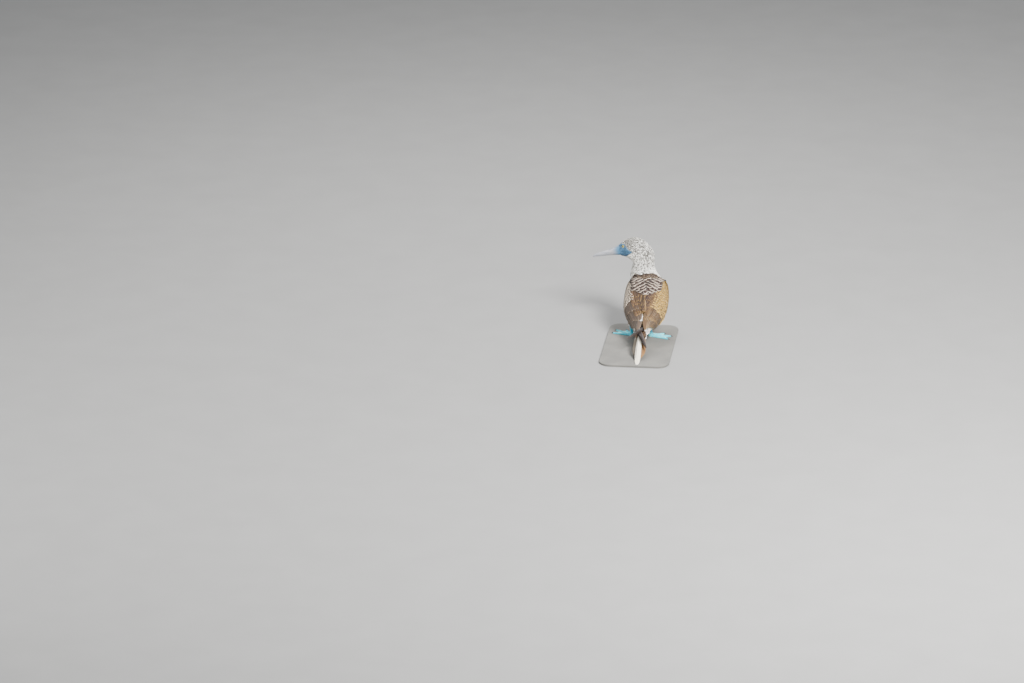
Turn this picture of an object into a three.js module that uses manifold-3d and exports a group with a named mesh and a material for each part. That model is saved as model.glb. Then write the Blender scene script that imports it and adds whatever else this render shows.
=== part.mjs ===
// A blue-footed booby, life size: it stands on a plain board, on both webbed feet with its tail tip down,
// and looks back over its left side. Millimetres, +Z up. The bird faces -Y, and its left is +X.
import * as THREE from "three";
import { mergeVertices } from "three/addons/utils/BufferGeometryUtils.js";
import Module from "manifold-3d";

const wasm = await Module();
wasm.setup();

// Driving dimensions of a large adult
const GAP = 0.3;                // clearance between touching pieces
const BILL_TIP = 121;           // eye line to bill tip
const BILL_ROOT = 14;           // eye line to the face's end, where the horny bill begins
const BILL_PITCH = 14;          // degrees that the bill dips
const HEAD_YAW = 6;             // degrees that the bill turns back past the bird's left
const EYE = { radius: 6.8, forward: -3.2, deep: 13.2, up: 4.8, tilt: 20, ahead: 14 };
const HEAD = new THREE.Vector3(97, -144, 309.5);   // in the head, under the forehead
const TAIL = {
  lengths: [208, 170, 162, 154, 145, 134],       // middle pair to outer pair
  half: 9.5,
  spread: 3.3,
  bend: 5,
  thick: 1.1,
  lift: 1.35,
  slope: 0.335,
};
const TAIL_ROOT = { y: 112, z: 58 };
const VANE = 1.0;               // thickness of a flight feather
const LEG = { ankleY: 9, ankleZ: 47, joint: 12, left: 48, right: -26 };
const TOES = [                  // inner hind toe to outer toe: length, degrees inward, root radius
  { length: 36, turn: -82, radius: 4 },
  { length: 57, turn: -28, radius: 4.6 },
  { length: 78, turn: 0, radius: 5.2 },
  { length: 75, turn: 24, radius: 4.8 },
];
const FOOT_TURN = { left: 54, right: 88 };       // degrees that the middle toe turns outward
const CLAW = { length: 8, radius: 2.3 };
const LEAN = -4;                // the trunk and wings stand this far to the bird's right of its tail
const RING = 24;                // points around the body
const BOARD = { thick: 8, margin: 12, ahead: 72, corner: 45 };

const rad = THREE.MathUtils.degToRad;
const v3 = (x, y, z) => new THREE.Vector3(x, y, z);
const mix = THREE.MathUtils.lerp;

// Closed bodies and their unions and cuts

// A closed body through rings of points, with a fan at each end.
function loft(rings) {
  const count = rings[0].length;
  const points = rings.flat();
  const faces = [];
  for (let i = 0; i + 1 < rings.length; i++) {
    for (let j = 0; j < count; j++) {
      const a = i * count + j;
      const b = i * count + ((j + 1) % count);
      faces.push(a, b, a + count, b, b + count, a + count);
    }
  }
  for (const [row, flip] of [[0, true], [rings.length - 1, false]]) {
    const middle = points.length;
    const sum = rings[row].reduce((s, p) => s.add(p), v3(0, 0, 0));
    points.push(sum.divideScalar(count));
    for (let j = 0; j < count; j++) {
      const a = row * count + j;
      const b = row * count + ((j + 1) % count);
      faces.push(middle, flip ? b : a, flip ? a : b);
    }
  }
  const geometry = new THREE.BufferGeometry().setFromPoints(points);
  geometry.setIndex(faces);
  return outward(geometry);
}

// The same surface with its faces pointing out.
function outward(geometry) {
  const at = geometry.attributes.position;
  const index = geometry.index.array;
  const p = [v3(), v3(), v3()];
  let volume = 0;
  for (let i = 0; i < index.length; i += 3) {
    p.forEach((q, k) => q.fromBufferAttribute(at, index[i + k]));
    volume += p[0].dot(p[1].clone().cross(p[2]));
  }
  if (volume < 0) {
    for (let i = 0; i < index.length; i += 3) {
      [index[i + 1], index[i + 2]] = [index[i + 2], index[i + 1]];
    }
  }
  return geometry;
}

function solid(geometry) {
  const bare = geometry.clone();
  bare.deleteAttribute("normal");
  bare.deleteAttribute("uv");
  const merged = mergeVertices(bare, 1e-4);
  return new wasm.Manifold(new wasm.Mesh({
    numProp: 3,
    vertProperties: new Float32Array(merged.attributes.position.array),
    triVerts: new Uint32Array(merged.index.array),
  }));
}

function geometryOf(body) {
  const mesh = body.getMesh();
  const geometry = new THREE.BufferGeometry();
  geometry.setAttribute("position", new THREE.BufferAttribute(new Float32Array(mesh.vertProperties), 3));
  geometry.setIndex(Array.from(mesh.triVerts));
  return geometry;
}

const join = (geometries) => geometries.map(solid).reduce((a, b) => a.add(b));
const cut = (body, ...tools) => tools.reduce((a, b) => a.subtract(solid(b)), body);

function largest(body) {
  const size = (part) => Math.abs(part.volume());
  return body.decompose().reduce((a, b) => (size(a) > size(b) ? a : b));
}

// Smooth values between stations, at a place counted in stations.
function between(stations, key, place) {
  const last = stations.length - 1;
  const i = Math.min(Math.floor(place), last - 1);
  const t = place - i;
  const at = (k) => stations[Math.max(0, Math.min(last, k))][key];
  const [a, b, c, d] = [at(i - 1), at(i), at(i + 1), at(i + 2)];
  const curve = (p, q, r, s) =>
    0.5 * (2 * q + (r - p) * t + (2 * p - 5 * q + 4 * r - s) * t * t + (3 * q - p - 3 * r + s) * t ** 3);
  return typeof b === "number" ? curve(a, b, c, d)
    : v3(curve(a.x, b.x, c.x, d.x), curve(a.y, b.y, c.y, d.y), curve(a.z, b.z, c.z, d.z));
}

// The trunk, neck and head

// A place on the head: forward along the bill, to the bird's left, and up.
const HEADING = new THREE.Matrix4().makeRotationZ(rad(HEAD_YAW))
  .multiply(new THREE.Matrix4().makeRotationY(rad(BILL_PITCH))).setPosition(HEAD);
const onHead = (forward, left, up) => v3(forward, left, up).applyMatrix4(HEADING);

// Stations from the rump to the bill: upper point, lower point, half width, and the turn of the side.
const trunk = (x, y, z, y2, z2, half, turn = 0) =>
  ({ over: v3(x, y, z), under: v3(x, y2, z2), half, turn });
const neck = (middle, reach, half, turn, rise) => {
  const back = v3(-Math.sin(rad(turn)), Math.cos(rad(turn)), Math.tan(rad(rise))).setLength(reach);
  return { over: middle.clone().add(back), under: middle.clone().sub(back), half, turn };
};
const head = (f, u, f2, u2, half) =>
  ({ over: onHead(f, 0, u), under: onHead(f2, 0, u2), half, turn: 90 + HEAD_YAW });
const BODY = [
  trunk(-2, 122, 66, 112, 42, 24),
  trunk(-3, 105, 80, 84, 42, 38),
  trunk(-4, 82, 99, 48, 47, 51),
  trunk(-4, 45, 127, 4, 58, 61),
  trunk(-4, 2, 160, -50, 73, 67),
  trunk(-4, -38, 188, -98, 90, 69),
  trunk(-2, -70, 209, -144, 116, 66),
  trunk(5, -90, 222, -174, 150, 59, 6),
  neck(v3(15, -137, 201), 48, 51, 20, 30),
  neck(v3(22, -144, 214), 49, 47, 44, 30),
  neck(v3(22, -150, 229), 50, 45, 70, 31),
  head(-112, -66.5, -8, -97, 44),
  head(-110.5, -49.4, -16, -86, 43),
  head(-104.4, -31.5, -21, -77, 41),
  head(-96.8, -12.8, -22.5, -70, 39),
  head(-84.7, 3.8, -22, -65.5, 37),
  head(-71.7, 16.3, -20, -61, 35),
  head(-57.5, 23.7, -17, -56, 33.5),
  head(-42, 26.3, -12, -50, 31.5),
  head(-26.4, 26, -5, -44, 28.5),
  head(-9.5, 20.5, 3, -38, 23.5),
  head(4, 14.2, 12, -33.6, 19.2),
  head(15, 10.2, 19, -29.4, 16.4),
];
const NECK_FROM = 8;            // stations where the trunk ends and the head begins
const HEAD_FROM = 13;
const HEAD_TO = BODY.length - 1;

// A sine or cosine that rounds a section out a little past an ellipse.
const full = (value) => Math.sign(value) * Math.abs(value) ** 0.9;

// One ring of the body, grown outward by some millimetres.
function bodyRing(place, grow = 0) {
  const over = between(BODY, "over", place);
  const under = between(BODY, "under", place);
  const half = between(BODY, "half", place) + grow;
  const turn = rad(between(BODY, "turn", place));
  const middle = over.clone().add(under).multiplyScalar(0.5);
  const up = over.clone().sub(middle);
  up.setLength(up.length() + grow);
  const side = v3(Math.cos(turn), Math.sin(turn), 0);
  side.addScaledVector(up, -side.dot(up) / up.lengthSq()).setLength(half);
  const start = turn * 90 / (90 + HEAD_YAW);    // the points keep their line where the neck twists
  return Array.from({ length: RING }, (_, j) => {
    const angle = (j / RING) * 2 * Math.PI + start;
    return middle.clone().addScaledVector(up, full(Math.cos(angle)))
      .addScaledVector(side, full(Math.sin(angle)));
  });
}

const bodyRings = (from, to, steps, grow = 0) =>
  Array.from({ length: steps + 1 }, (_, i) => bodyRing(mix(from, to, i / steps), grow));

// A flat end ring moved by the clearance, towards a place or away from it.
function shifted(ring, place, away = false) {
  const normal = ring[RING / 4].clone().sub(ring[0]).cross(ring[RING / 2].clone().sub(ring[0])).normalize();
  if ((normal.dot(place.clone().sub(ring[0])) < 0) !== away) normal.negate();
  return ring.map((p) => p.clone().addScaledVector(normal, GAP));
}

const TRUNK_STEPS = 14;
const NECK_STEPS = 9;
const trunkRings = bodyRings(0, NECK_FROM, TRUNK_STEPS);
const neckRings = bodyRings(NECK_FROM, HEAD_FROM, NECK_STEPS);
const headRings = bodyRings(HEAD_FROM, HEAD_TO, 14);
neckRings[0] = shifted(neckRings[0], neckRings[1][0]);
headRings[0] = shifted(headRings[0], headRings[1][0]);

// The room that other pieces leave round the trunk and the neck.
const trunkRoomRings = bodyRings(0, NECK_FROM, TRUNK_STEPS, GAP);
trunkRoomRings[0] = shifted(trunkRoomRings[0], trunkRoomRings[1][0], true);
const trunkRoom = loft(trunkRoomRings);
const neckRoom = loft(bodyRings(NECK_FROM - 0.2, HEAD_FROM, NECK_STEPS, GAP));

// The head: lids round each eye, a mouth line and the bill

function ball(centre, radius) {
  return mergeVertices(new THREE.IcosahedronGeometry(radius, 3).translate(centre.x, centre.y, centre.z));
}

const eyeCentre = (side) => onHead(EYE.forward, side * EYE.deep, EYE.up);

// A place round the eye: at an angle and radius from its axis, and outward along the axis, which
// points a little up and ahead.
function roundEye(side, angle, radius, out) {
  const ahead = radius * Math.cos(angle);
  const above = radius * Math.sin(angle);
  const tilt = rad(EYE.tilt);
  const sideways = out * Math.cos(tilt) - above * Math.sin(tilt);
  const up = out * Math.sin(tilt) + above * Math.cos(tilt);
  const turn = rad(EYE.ahead);
  const forward = ahead * Math.cos(turn) + sideways * Math.sin(turn);
  const left = sideways * Math.cos(turn) - ahead * Math.sin(turn);
  return onHead(EYE.forward + forward, side * (EYE.deep + left), EYE.up + up);
}

// The orbital ring and lids: a low mound of rings round the eye, each with its radius and its place
// outward from the eye's middle.
function lids(side) {
  const rings = [[8.6, -2], [8.6, 3.6], [8.2, 5.3], [7.4, 6.2], [6.4, 6.3], [5.2, 4.6]];
  const count = 20;
  return loft(rings.map(([radius, out]) => Array.from({ length: count }, (_, j) =>
    roundEye(side, (j / count) * 2 * Math.PI, radius, out))));
}

// Bill sections: distance from the eye line, upper edge, mouth line, lower edge and half width.
const BILL = [
  { f: BILL_ROOT + GAP, top: 10.3, mouth: -10.4, low: -29.6, half: 16.4 },
  { f: 24, top: 7.6, mouth: -10.6, low: -27.2, half: 14.6 },
  { f: 38, top: 4.6, mouth: -10.4, low: -24.2, half: 12.4 },
  { f: 60, top: 1.2, mouth: -10, low: -19.8, half: 9.4 },
  { f: 84, top: 0, mouth: -9.6, low: -16.6, half: 6.9 },
  { f: 104, top: -2, mouth: -9.8, low: -14.2, half: 4.9 },
  { f: 116, top: -5.2, mouth: -10.4, low: -12.9, half: 3 },
  { f: BILL_TIP, top: -8.8, mouth: -11.4, low: -12.2, half: 1.2 },
];

function billRing(place, edge, side) {
  const f = between(BILL, "f", place);
  const mouth = between(BILL, "mouth", place) + side * GAP / 2;
  const reach = between(BILL, edge, place) - mouth;
  const half = between(BILL, "half", place);
  const steps = 9;
  return Array.from({ length: steps + 1 }, (_, j) => {
    const angle = (j / steps) * Math.PI;
    const round = Math.sign(Math.cos(angle)) * Math.abs(Math.cos(angle)) ** 0.85;
    return onHead(f, round * half, mouth + reach * Math.sin(angle) ** 0.9);
  });
}

const billHalf = (edge, side) => loft(Array.from({ length: 15 }, (_, i) => billRing(i / 2, edge, side)));

// The gape runs back from the bill, as a thin slit on both cheeks.
function gapeSlit(side) {
  const line = [[18, -10.5], [-6, -15.2], [-25, -26]];
  const half = 0.7;
  const inner = 15.5;
  const outer = 26;
  return loft(line.map(([f, u]) => [
    onHead(f, side * outer, u + half), onHead(f, side * outer, u - half),
    onHead(f, side * inner, u - half), onHead(f, side * inner, u + half),
  ]));
}

const billCap = loft([onHead(BILL_ROOT, 0, 0), onHead(60, 0, 0)].map((p) =>
  [[-40, -60], [40, -60], [40, 60], [-40, 60]].map(([l, u]) =>
    p.clone().add(onHead(0, l, u)).sub(onHead(0, 0, 0)))));

function makeHead() {
  const whole = join([loft(headRings), lids(1), lids(-1)]);
  const sockets = [1, -1].map((side) => ball(eyeCentre(side), EYE.radius + GAP));
  return largest(cut(whole, ...sockets, gapeSlit(1), gapeSlit(-1), billCap));
}

// The legs and feet

// A tapered rod through round sections.
function rod(stations, sides = 12) {
  return loft(stations.map(({ at, wide, deep }, i) => {
    const ahead = stations[Math.min(i + 1, stations.length - 1)].at.clone()
      .sub(stations[Math.max(i - 1, 0)].at).normalize();
    const flat = i === 0 || i === stations.length - 1;
    const axis = flat ? v3(0, 0, Math.sign(ahead.z) || 1) : ahead;
    const across = v3(1, 0, 0).addScaledVector(axis, -axis.x).normalize();
    const along = axis.clone().cross(across);
    return Array.from({ length: sides }, (_, j) => {
      const angle = (j / sides) * 2 * Math.PI;
      return at.clone().addScaledVector(across, wide * Math.cos(angle))
        .addScaledVector(along, deep * Math.sin(angle));
    });
  }));
}

const tarsus = (x) => rod([
  { at: v3(x, -1, LEG.joint + GAP), wide: 6.6, deep: 8.2 },
  { at: v3(x, 1, 21), wide: 5.6, deep: 7.6 },
  { at: v3(x, 5, 33), wide: 5.6, deep: 7.8 },
  { at: v3(x, 8, 42), wide: 7, deep: 9 },
  { at: v3(x, LEG.ankleY, LEG.ankleZ), wide: 7.4, deep: 9.6 },
]);
const thigh = (x, grow = 0) => rod([
  { at: v3(x, LEG.ankleY, LEG.ankleZ + GAP - grow), wide: 10 + grow, deep: 12 + grow },
  { at: v3(x * 0.98, 4, 55), wide: 14 + grow, deep: 16 + grow },
  { at: v3(x * 0.92, -6, 68), wide: 18 + grow, deep: 23 + grow },
  { at: v3(x * 0.85, -20, 90), wide: 20 + grow, deep: 28 + grow },
], 16);

// Toes and web lie flat: D-shaped sections on the floor, and a thin web just above it.
function footFrame(name) {
  const outward = name === "left" ? 1 : -1;
  return (length, turn, lateral, up) => {
    const angle = rad(FOOT_TURN[name] + turn);
    const x = length * Math.sin(angle) + lateral * Math.cos(angle);
    const y = -length * Math.cos(angle) + lateral * Math.sin(angle);
    return v3(LEG[name] + outward * x, y, up);
  };
}

function toe(place, { length, turn, radius }) {
  const stations = [-0.02, 0.25, 0.45, 0.65, 0.85, 1];
  return loft(stations.map((t, i) => {
    const knuckle = i % 2 === 0 ? 1.08 : 0.94;
    const r = radius * mix(1.1, 0.62, t) * knuckle;
    return Array.from({ length: 7 }, (_, j) => {
      const angle = (j / 6) * Math.PI;
      return place(t * length, turn, r * Math.cos(angle), 1.6 * r * Math.sin(angle));
    });
  }));
}

function web(place) {
  const edge = [];
  TOES.forEach((toeA, i) => {
    edge.push([toeA.length * 0.97, toeA.turn]);
    const toeB = TOES[i + 1];
    if (!toeB) return;
    for (const t of [0.25, 0.5, 0.75]) {
      const dip = 1 - 0.16 * Math.sin(t * Math.PI);
      edge.push([mix(toeA.length, toeB.length, t) * dip, mix(toeA.turn, toeB.turn, t)]);
    }
  });
  const outline = [[0, 0], ...edge];
  return loft([0.5, 2].map((up) => outline.map(([length, turn]) => place(length, turn, 0, up))));
}

function foot(name) {
  const place = footFrame(name);
  const knob = rod([
    { at: v3(LEG[name], -1, 0.01), wide: 8, deep: 9 },
    { at: v3(LEG[name], -1, 6), wide: 9, deep: 10 },
    { at: v3(LEG[name], -1, LEG.joint), wide: 6.8, deep: 8.4 },
  ]);
  return largest(join([knob, web(place), ...TOES.map((t) => toe(place, t))]));
}

function claw(name, { length, turn, radius }) {
  const place = footFrame(name);
  const steps = 4;
  return loft(Array.from({ length: steps + 1 }, (_, i) => {
    const t = i / steps;
    const r = CLAW.radius * (1 - 0.88 * t) * (radius / 5);
    const rise = r + 0.35 + 1.6 * (1 - t) ** 2;
    return Array.from({ length: 8 }, (_, j) => {
      const angle = (j / 8) * 2 * Math.PI;
      const up = rise + r * Math.sin(angle);
      return place(length + GAP + t * CLAW.length, turn, r * 0.8 * Math.cos(angle), up);
    });
  }));
}

// Feathers

// A closed thin vane along a path of places, half widths and normals: flat below, and a little thicker
// along its middle. A tilt lifts one edge over the next feather.
function vane(path, thick) {
  const point = (p, k, up) => p.at.clone().addScaledVector(p.across, k)
    .addScaledVector(p.normal, up * thick + p.tilt * k);
  return loft(path.map((p) => [
    point(p, -1, 0.2), point(p, 0, 0.5), point(p, 1, 0.2),
    point(p, 1, -0.5), point(p, -1, -0.5),
  ]));
}

// The tail: closed and wedge shaped, its middle feathers on top and down to the floor.
function tailLine(y) {
  const fall = TAIL_ROOT.z - (y - TAIL_ROOT.y) * TAIL.slope;
  const soft = 4;
  return Math.max(0, soft * Math.log(1 + Math.exp(fall / soft)) - 1.3);
}

function tailFeather(pair, side) {
  const length = TAIL.lengths[pair];
  const layers = TAIL.lengths.length - pair + (side > 0 ? 0 : 0.5);
  const stations = [0, 0.3, 0.55, 0.78, 0.92, 1];
  const shape = [0.5, 0.8, 1, 1, 0.74, 0.2];
  const path = stations.map((t, i) => {
    const y = TAIL_ROOT.y - 6 + t * length;
    const spread = side * (2.2 + pair * TAIL.spread) * mix(0.5, 1, t) - TAIL.bend * t * t;
    const lift = (layers - 1) * TAIL.lift * Math.min(1, (TAIL.lengths[0] + TAIL_ROOT.y - y - 10) / 90);
    return {
      at: v3(spread, y, tailLine(y) + Math.max(lift, side > 0 ? 0 : GAP) + TAIL.thick / 2),
      across: v3(TAIL.half * shape[i], 0, 0),
      normal: v3(0, 0, 1),
      tilt: 0,
    };
  });
  return vane(path, TAIL.thick);
}

function tailCore() {
  const stations = [0, 0.25, 0.5, 0.75, 1];
  return loft(stations.map((t) => {
    const y = mix(TAIL_ROOT.y - 4, TAIL_ROOT.y + 84, t);
    const middle = tailLine(y) + 4;
    const high = mix(9, 3.5, t);
    return Array.from({ length: 14 }, (_, j) => {
      const angle = (j / 14) * 2 * Math.PI;
      return v3(mix(23, 20, t) * Math.cos(angle) - 1, y, middle + high * Math.sin(angle));
    });
  }));
}

function makeTail() {
  const feathers = TAIL.lengths.flatMap((_, pair) => [tailFeather(pair, 1), tailFeather(pair, -1)]);
  return largest(cut(join([tailCore(), ...feathers]), trunkRoom));
}

// The folded wing: stations from the wrist back, each with its upper edge, bulge and lower edge.
const across = (y, ux, uz, cx, cz, lx, lz) =>
  ({ top: v3(ux, y, uz), bulge: v3(cx, y, cz), low: v3(lx, y, lz) });
const WING = [
  across(-134, 58, 168, 67, 163, 64, 152),
  across(-114, 51, 191, 85, 186, 71, 126),
  across(-80, 44, 202, 97, 184, 76, 106),
  across(-40, 35, 189, 104, 157, 76, 91),
  across(0, 24, 167, 102, 130, 71, 76),
  across(40, 14, 140, 82, 106, 57, 63),
  across(80, 6, 111, 57, 92, 42, 56),
  across(110, 8, 92, 40, 84, 33, 55),
  across(142, 14, 75, 28, 73, 26, 54),
  across(172, 20, 64, 24, 63, 22, 54),
];
const CORE_TO = 4.9;            // the wing's core ends here, in stations
const CROSSING = { over: 2.8, under: 3.2, from: 40, to: 110 };
const PRIMARIES = { count: 4, half: 9, shorter: 0.13, rise: 1.6 };
const WING_TIP = { left: v3(-29, 234, 38), right: v3(-49, 195, 58) };   // the right one before mirroring

// A place on the folded wing, from its upper edge (t = 0) to its lower edge (t = 1). Where the wings
// cross behind the back, the right one lies over the left one.
function wingAt(side, place, t) {
  const top = between(WING, "top", place);
  const bulge = between(WING, "bulge", place);
  const low = between(WING, "low", place);
  const at = top.multiplyScalar((1 - t) ** 2).addScaledVector(bulge, 2 * t * (1 - t))
    .addScaledVector(low, t * t);
  const apart = THREE.MathUtils.smoothstep(at.y, CROSSING.from, CROSSING.to);
  at.z += (side > 0 ? -CROSSING.under : CROSSING.over) * apart;
  return at;
}

function wingFrame(side, place, t) {
  const e = 0.03;
  const along = wingAt(side, place + e, t).sub(wingAt(side, place - e, t)).normalize();
  const over = wingAt(side, place, t + e).sub(wingAt(side, place, t - e)).normalize();
  const normal = over.cross(along).normalize();
  return { along, normal, over: along.clone().cross(normal).normalize() };
}

function wingCore(side) {
  const steps = 10;
  const points = 8;
  const rings = Array.from({ length: steps + 1 }, (_, i) => {
    const place = mix(0, CORE_TO, i / steps);
    const outer = Array.from({ length: points }, (_, j) => wingAt(side, place, j / (points - 1)));
    const axis = v3(0, outer[0].y, mix(outer[0].z, outer[points - 1].z, 0.55));
    const inner = outer.slice(1, -1).reverse().map((p) => p.clone().lerp(axis, 0.35));
    return [...outer, ...inner];
  });
  return loft(rings);
}

// Rows of feathers on the wing: where roots and tips lie, their number, half width and lift.
const ROWS = [
  { count: 6, root: [1.0, 1.0], tip: [2.5, 2.3], t: [0.1, 0.86], half: 12.5, lift: 2.2 },
  { count: 7, root: [2.3, 2.1], tip: [4.3, 3.7], t: [0.08, 0.88], half: 11.5, lift: 1.7 },
  { count: 8, root: [3.9, 3.3], tip: [8.0, 6.2], t: [0.06, 0.92], half: 11.5, lift: 1.0 },
];

function wingFeather(side, row, k) {
  const share = k / (row.count - 1);
  const t = mix(row.t[0], row.t[1], share);
  const from = mix(row.root[0], row.root[1], share);
  const to = mix(row.tip[0], row.tip[1], share);
  const stations = [0, 0.35, 0.65, 0.88, 1];
  const shape = [0.6, 0.95, 1, 0.7, 0.18];
  const path = stations.map((s, i) => {
    const place = mix(from, to, s);
    const { normal, over } = wingFrame(side, place, t);
    return {
      at: wingAt(side, place, t).addScaledVector(normal, mix(-2.2, row.lift, Math.min(1, s * 1.6))),
      across: over.multiplyScalar(row.half * shape[i]),
      normal,
      tilt: 1.1 * shape[i],
    };
  });
  return vane(path, VANE);
}

// Primaries: from under the secondaries to the wing tip, which crosses over the tail.
function primary(side, k, tip) {
  const reach = 1 - PRIMARIES.shorter * k;
  const root = wingAt(side, 4.6, 0.62 + 0.05 * k);
  const mid = wingAt(side, 6.8, 0.7);
  const end = mid.clone().lerp(tip, reach);
  end.z += PRIMARIES.rise * k;
  const stations = [0, 0.3, 0.55, 0.8, 0.93, 1];
  const shape = [0.5, 0.9, 1, 0.8, 0.5, 0.15];
  const path = stations.map((s, i) => {
    const a = root.clone().lerp(mid, s);
    const b = mid.clone().lerp(end, s);
    const at = a.clone().lerp(b, s);
    const along = b.sub(a).normalize();
    const normal = v3(0.35 * (1 - s), 0.12, 1).normalize();
    const over = along.clone().cross(normal).normalize();
    return { at, across: over.multiplyScalar(PRIMARIES.half * shape[i]), normal, tilt: 0 };
  });
  return vane(path, VANE);
}

function wing(side) {
  const tip = side > 0 ? WING_TIP.left : WING_TIP.right;
  const feathers = ROWS.flatMap((row) =>
    Array.from({ length: row.count }, (_, k) => wingFeather(side, row, k)));
  const primaries = Array.from({ length: PRIMARIES.count }, (_, k) => primary(side, k, tip));
  const pieces = [wingCore(side), ...feathers, ...primaries];
  return join(pieces.map((piece) => outward(piece.scale(side, 1, 1).translate(LEAN, 0, 0))));
}

// The bird

const group = new THREE.Group();

function add(name, geometry, color, roughness) {
  const mesh = new THREE.Mesh(geometry, new THREE.MeshStandardMaterial({ color, roughness, metalness: 0 }));
  mesh.name = name;
  group.add(mesh);
}

add("torso", loft(trunkRings), 0xf1ede2, 0.9);
add("neck", loft(neckRings), 0xcfccbd, 0.9);
add("head", geometryOf(makeHead()), 0xbdb9a8, 0.85);
add("bill_upper", billHalf("top", 1), 0xa9b0ba, 0.45);
add("bill_lower", billHalf("low", -1), 0xb4bac2, 0.45);
add("tail", geometryOf(makeTail()), 0x8a7b66, 0.8);
for (const [name, side] of [["left", 1], ["right", -1]]) {
  add(`eye_${name}`, ball(eyeCentre(side), EYE.radius), 0xd9cf6a, 0.1);
  const thighRoom = thigh(LEG[name], GAP);
  const folded = largest(cut(wing(side), trunkRoom, neckRoom, thighRoom));
  add(`wing_${name}`, geometryOf(folded), 0x8f7b66, 0.8);
  add(`thigh_${name}`, geometryOf(largest(cut(solid(thigh(LEG[name])), trunkRoom))), 0xf1ede2, 0.9);
  add(`tarsus_${name}`, tarsus(LEG[name]), 0x2f9fc0, 0.5);
  add(`foot_${name}`, geometryOf(foot(name)), 0x3fb9cf, 0.5);
  TOES.forEach((toe, i) => add(`claw_${name}_${i + 1}`, claw(name, toe), 0x5a5a5c, 0.4));
}

// The bird's weight lies ahead of its toes, so it stands on a board that reaches from under its breast to
// past its tail tip.
function board() {
  const under = new THREE.Box3();
  const standing = group.children.filter(({ name }) => /^(foot|claw|tail)/.test(name));
  standing.forEach((mesh) => under.expandByObject(mesh));
  const [x0, x1] = [under.min.x - BOARD.margin, under.max.x + BOARD.margin];
  const [y0, y1] = [under.min.y - BOARD.ahead, under.max.y + BOARD.margin];
  const r = BOARD.corner;
  const quarter = Math.PI / 2;
  const outline = new THREE.Shape();
  outline.absarc(x1 - r, y0 + r, r, -quarter, 0);
  outline.absarc(x1 - r, y1 - r, r, 0, quarter);
  outline.absarc(x0 + r, y1 - r, r, quarter, 2 * quarter);
  outline.absarc(x0 + r, y0 + r, r, 2 * quarter, 3 * quarter);
  const slab = new THREE.ExtrudeGeometry(outline, { depth: BOARD.thick, bevelEnabled: false, curveSegments: 10 });
  slab.deleteAttribute("normal");
  slab.deleteAttribute("uv");
  return mergeVertices(slab.translate(0, 0, -GAP - BOARD.thick));
}

add("stand_board", board(), 0x77746e, 0.6);

// The part stands on z = 0 with the middle of its box over the origin.
const box = new THREE.Box3().setFromObject(group);
group.position.set(-(box.min.x + box.max.x) / 2, -(box.min.y + box.max.y) / 2, -box.min.z);

export default group;
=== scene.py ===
import math

import bpy
import numpy as np
from mathutils import Matrix, Vector


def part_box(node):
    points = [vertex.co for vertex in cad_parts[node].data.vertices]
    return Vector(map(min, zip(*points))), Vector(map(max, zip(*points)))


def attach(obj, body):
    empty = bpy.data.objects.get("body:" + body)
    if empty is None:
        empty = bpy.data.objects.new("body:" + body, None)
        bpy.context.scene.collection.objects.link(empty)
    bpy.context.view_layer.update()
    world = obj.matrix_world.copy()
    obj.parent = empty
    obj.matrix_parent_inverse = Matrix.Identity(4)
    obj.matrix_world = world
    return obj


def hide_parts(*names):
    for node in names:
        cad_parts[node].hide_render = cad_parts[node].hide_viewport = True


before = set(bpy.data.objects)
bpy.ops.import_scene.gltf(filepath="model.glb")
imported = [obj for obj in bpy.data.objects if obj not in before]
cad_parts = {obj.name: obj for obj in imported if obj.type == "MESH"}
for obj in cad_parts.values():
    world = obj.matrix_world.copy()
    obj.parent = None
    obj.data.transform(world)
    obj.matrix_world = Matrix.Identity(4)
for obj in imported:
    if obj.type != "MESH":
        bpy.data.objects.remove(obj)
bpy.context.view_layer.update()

MM = 0.001
chance = np.random.default_rng(11)

# Sizes that the solids were built from
HEAD = np.array([97.0, -144.0, 309.5])
HEAD_YAW = 6.0
BILL_PITCH = 14.0
BILL_ROOT = 14.0
BILL_TIP = 121.0
EYE_RADIUS = 6.8
EYE_AT = (-3.2, 13.2, 4.8)
EYE_TILT = 20.0
EYE_AHEAD = 14.0
GAP = 0.3
LEAN = -4.0
ANKLE = (9.0, 47.0)
LEG_X = {"left": 48.0, "right": -26.0}
FOOT_TURN = {"left": 54.0, "right": 88.0}
TOES = [(36.0, -82.0, 4.0), (57.0, -28.0, 4.6), (78.0, 0.0, 5.2), (75.0, 24.0, 4.8)]
CLAW_LENGTH = 8.0
CLAW_RADIUS = 2.3
TAIL_ROOT = (112.0, 58.0)
TAIL_LENGTHS = [208.0, 170.0, 162.0, 154.0, 145.0, 134.0]
SIDES = {"left": 1.0, "right": -1.0}
BOARD_CORNER = 45.0
BOARD_EDGE = 1.2                 # how far its sharp edges are rubbed round


# Small sums on arrays

def unit(v):
    return v / np.maximum(np.linalg.norm(v, axis=-1, keepdims=True), 1e-9)


def mix(a, b, t):
    return a + (b - a) * t


def smooth(low, high, x):
    t = np.clip((x - low) / (high - low), 0, 1)
    return t * t * (3 - 2 * t)


def curve(table, place):
    """A smooth curve through a table's rows at places counted in rows."""
    table = np.asarray(table, float)
    last = len(table) - 1
    place = np.asarray(place, float)
    i = np.clip(np.floor(place).astype(int), 0, last - 1)
    t = (place - i)[..., None]
    a, b, c, d = (table[np.clip(i + k, 0, last)] for k in (-1, 0, 1, 2))
    cubic = 2 * b + (c - a) * t + (2 * a - 5 * b + 4 * c - d) * t**2 + (3 * b - a - 3 * c + d) * t**3
    return cubic / 2


# The body: rings from the rump (place 0) over the neck to the bill's root (place 22)

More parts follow.
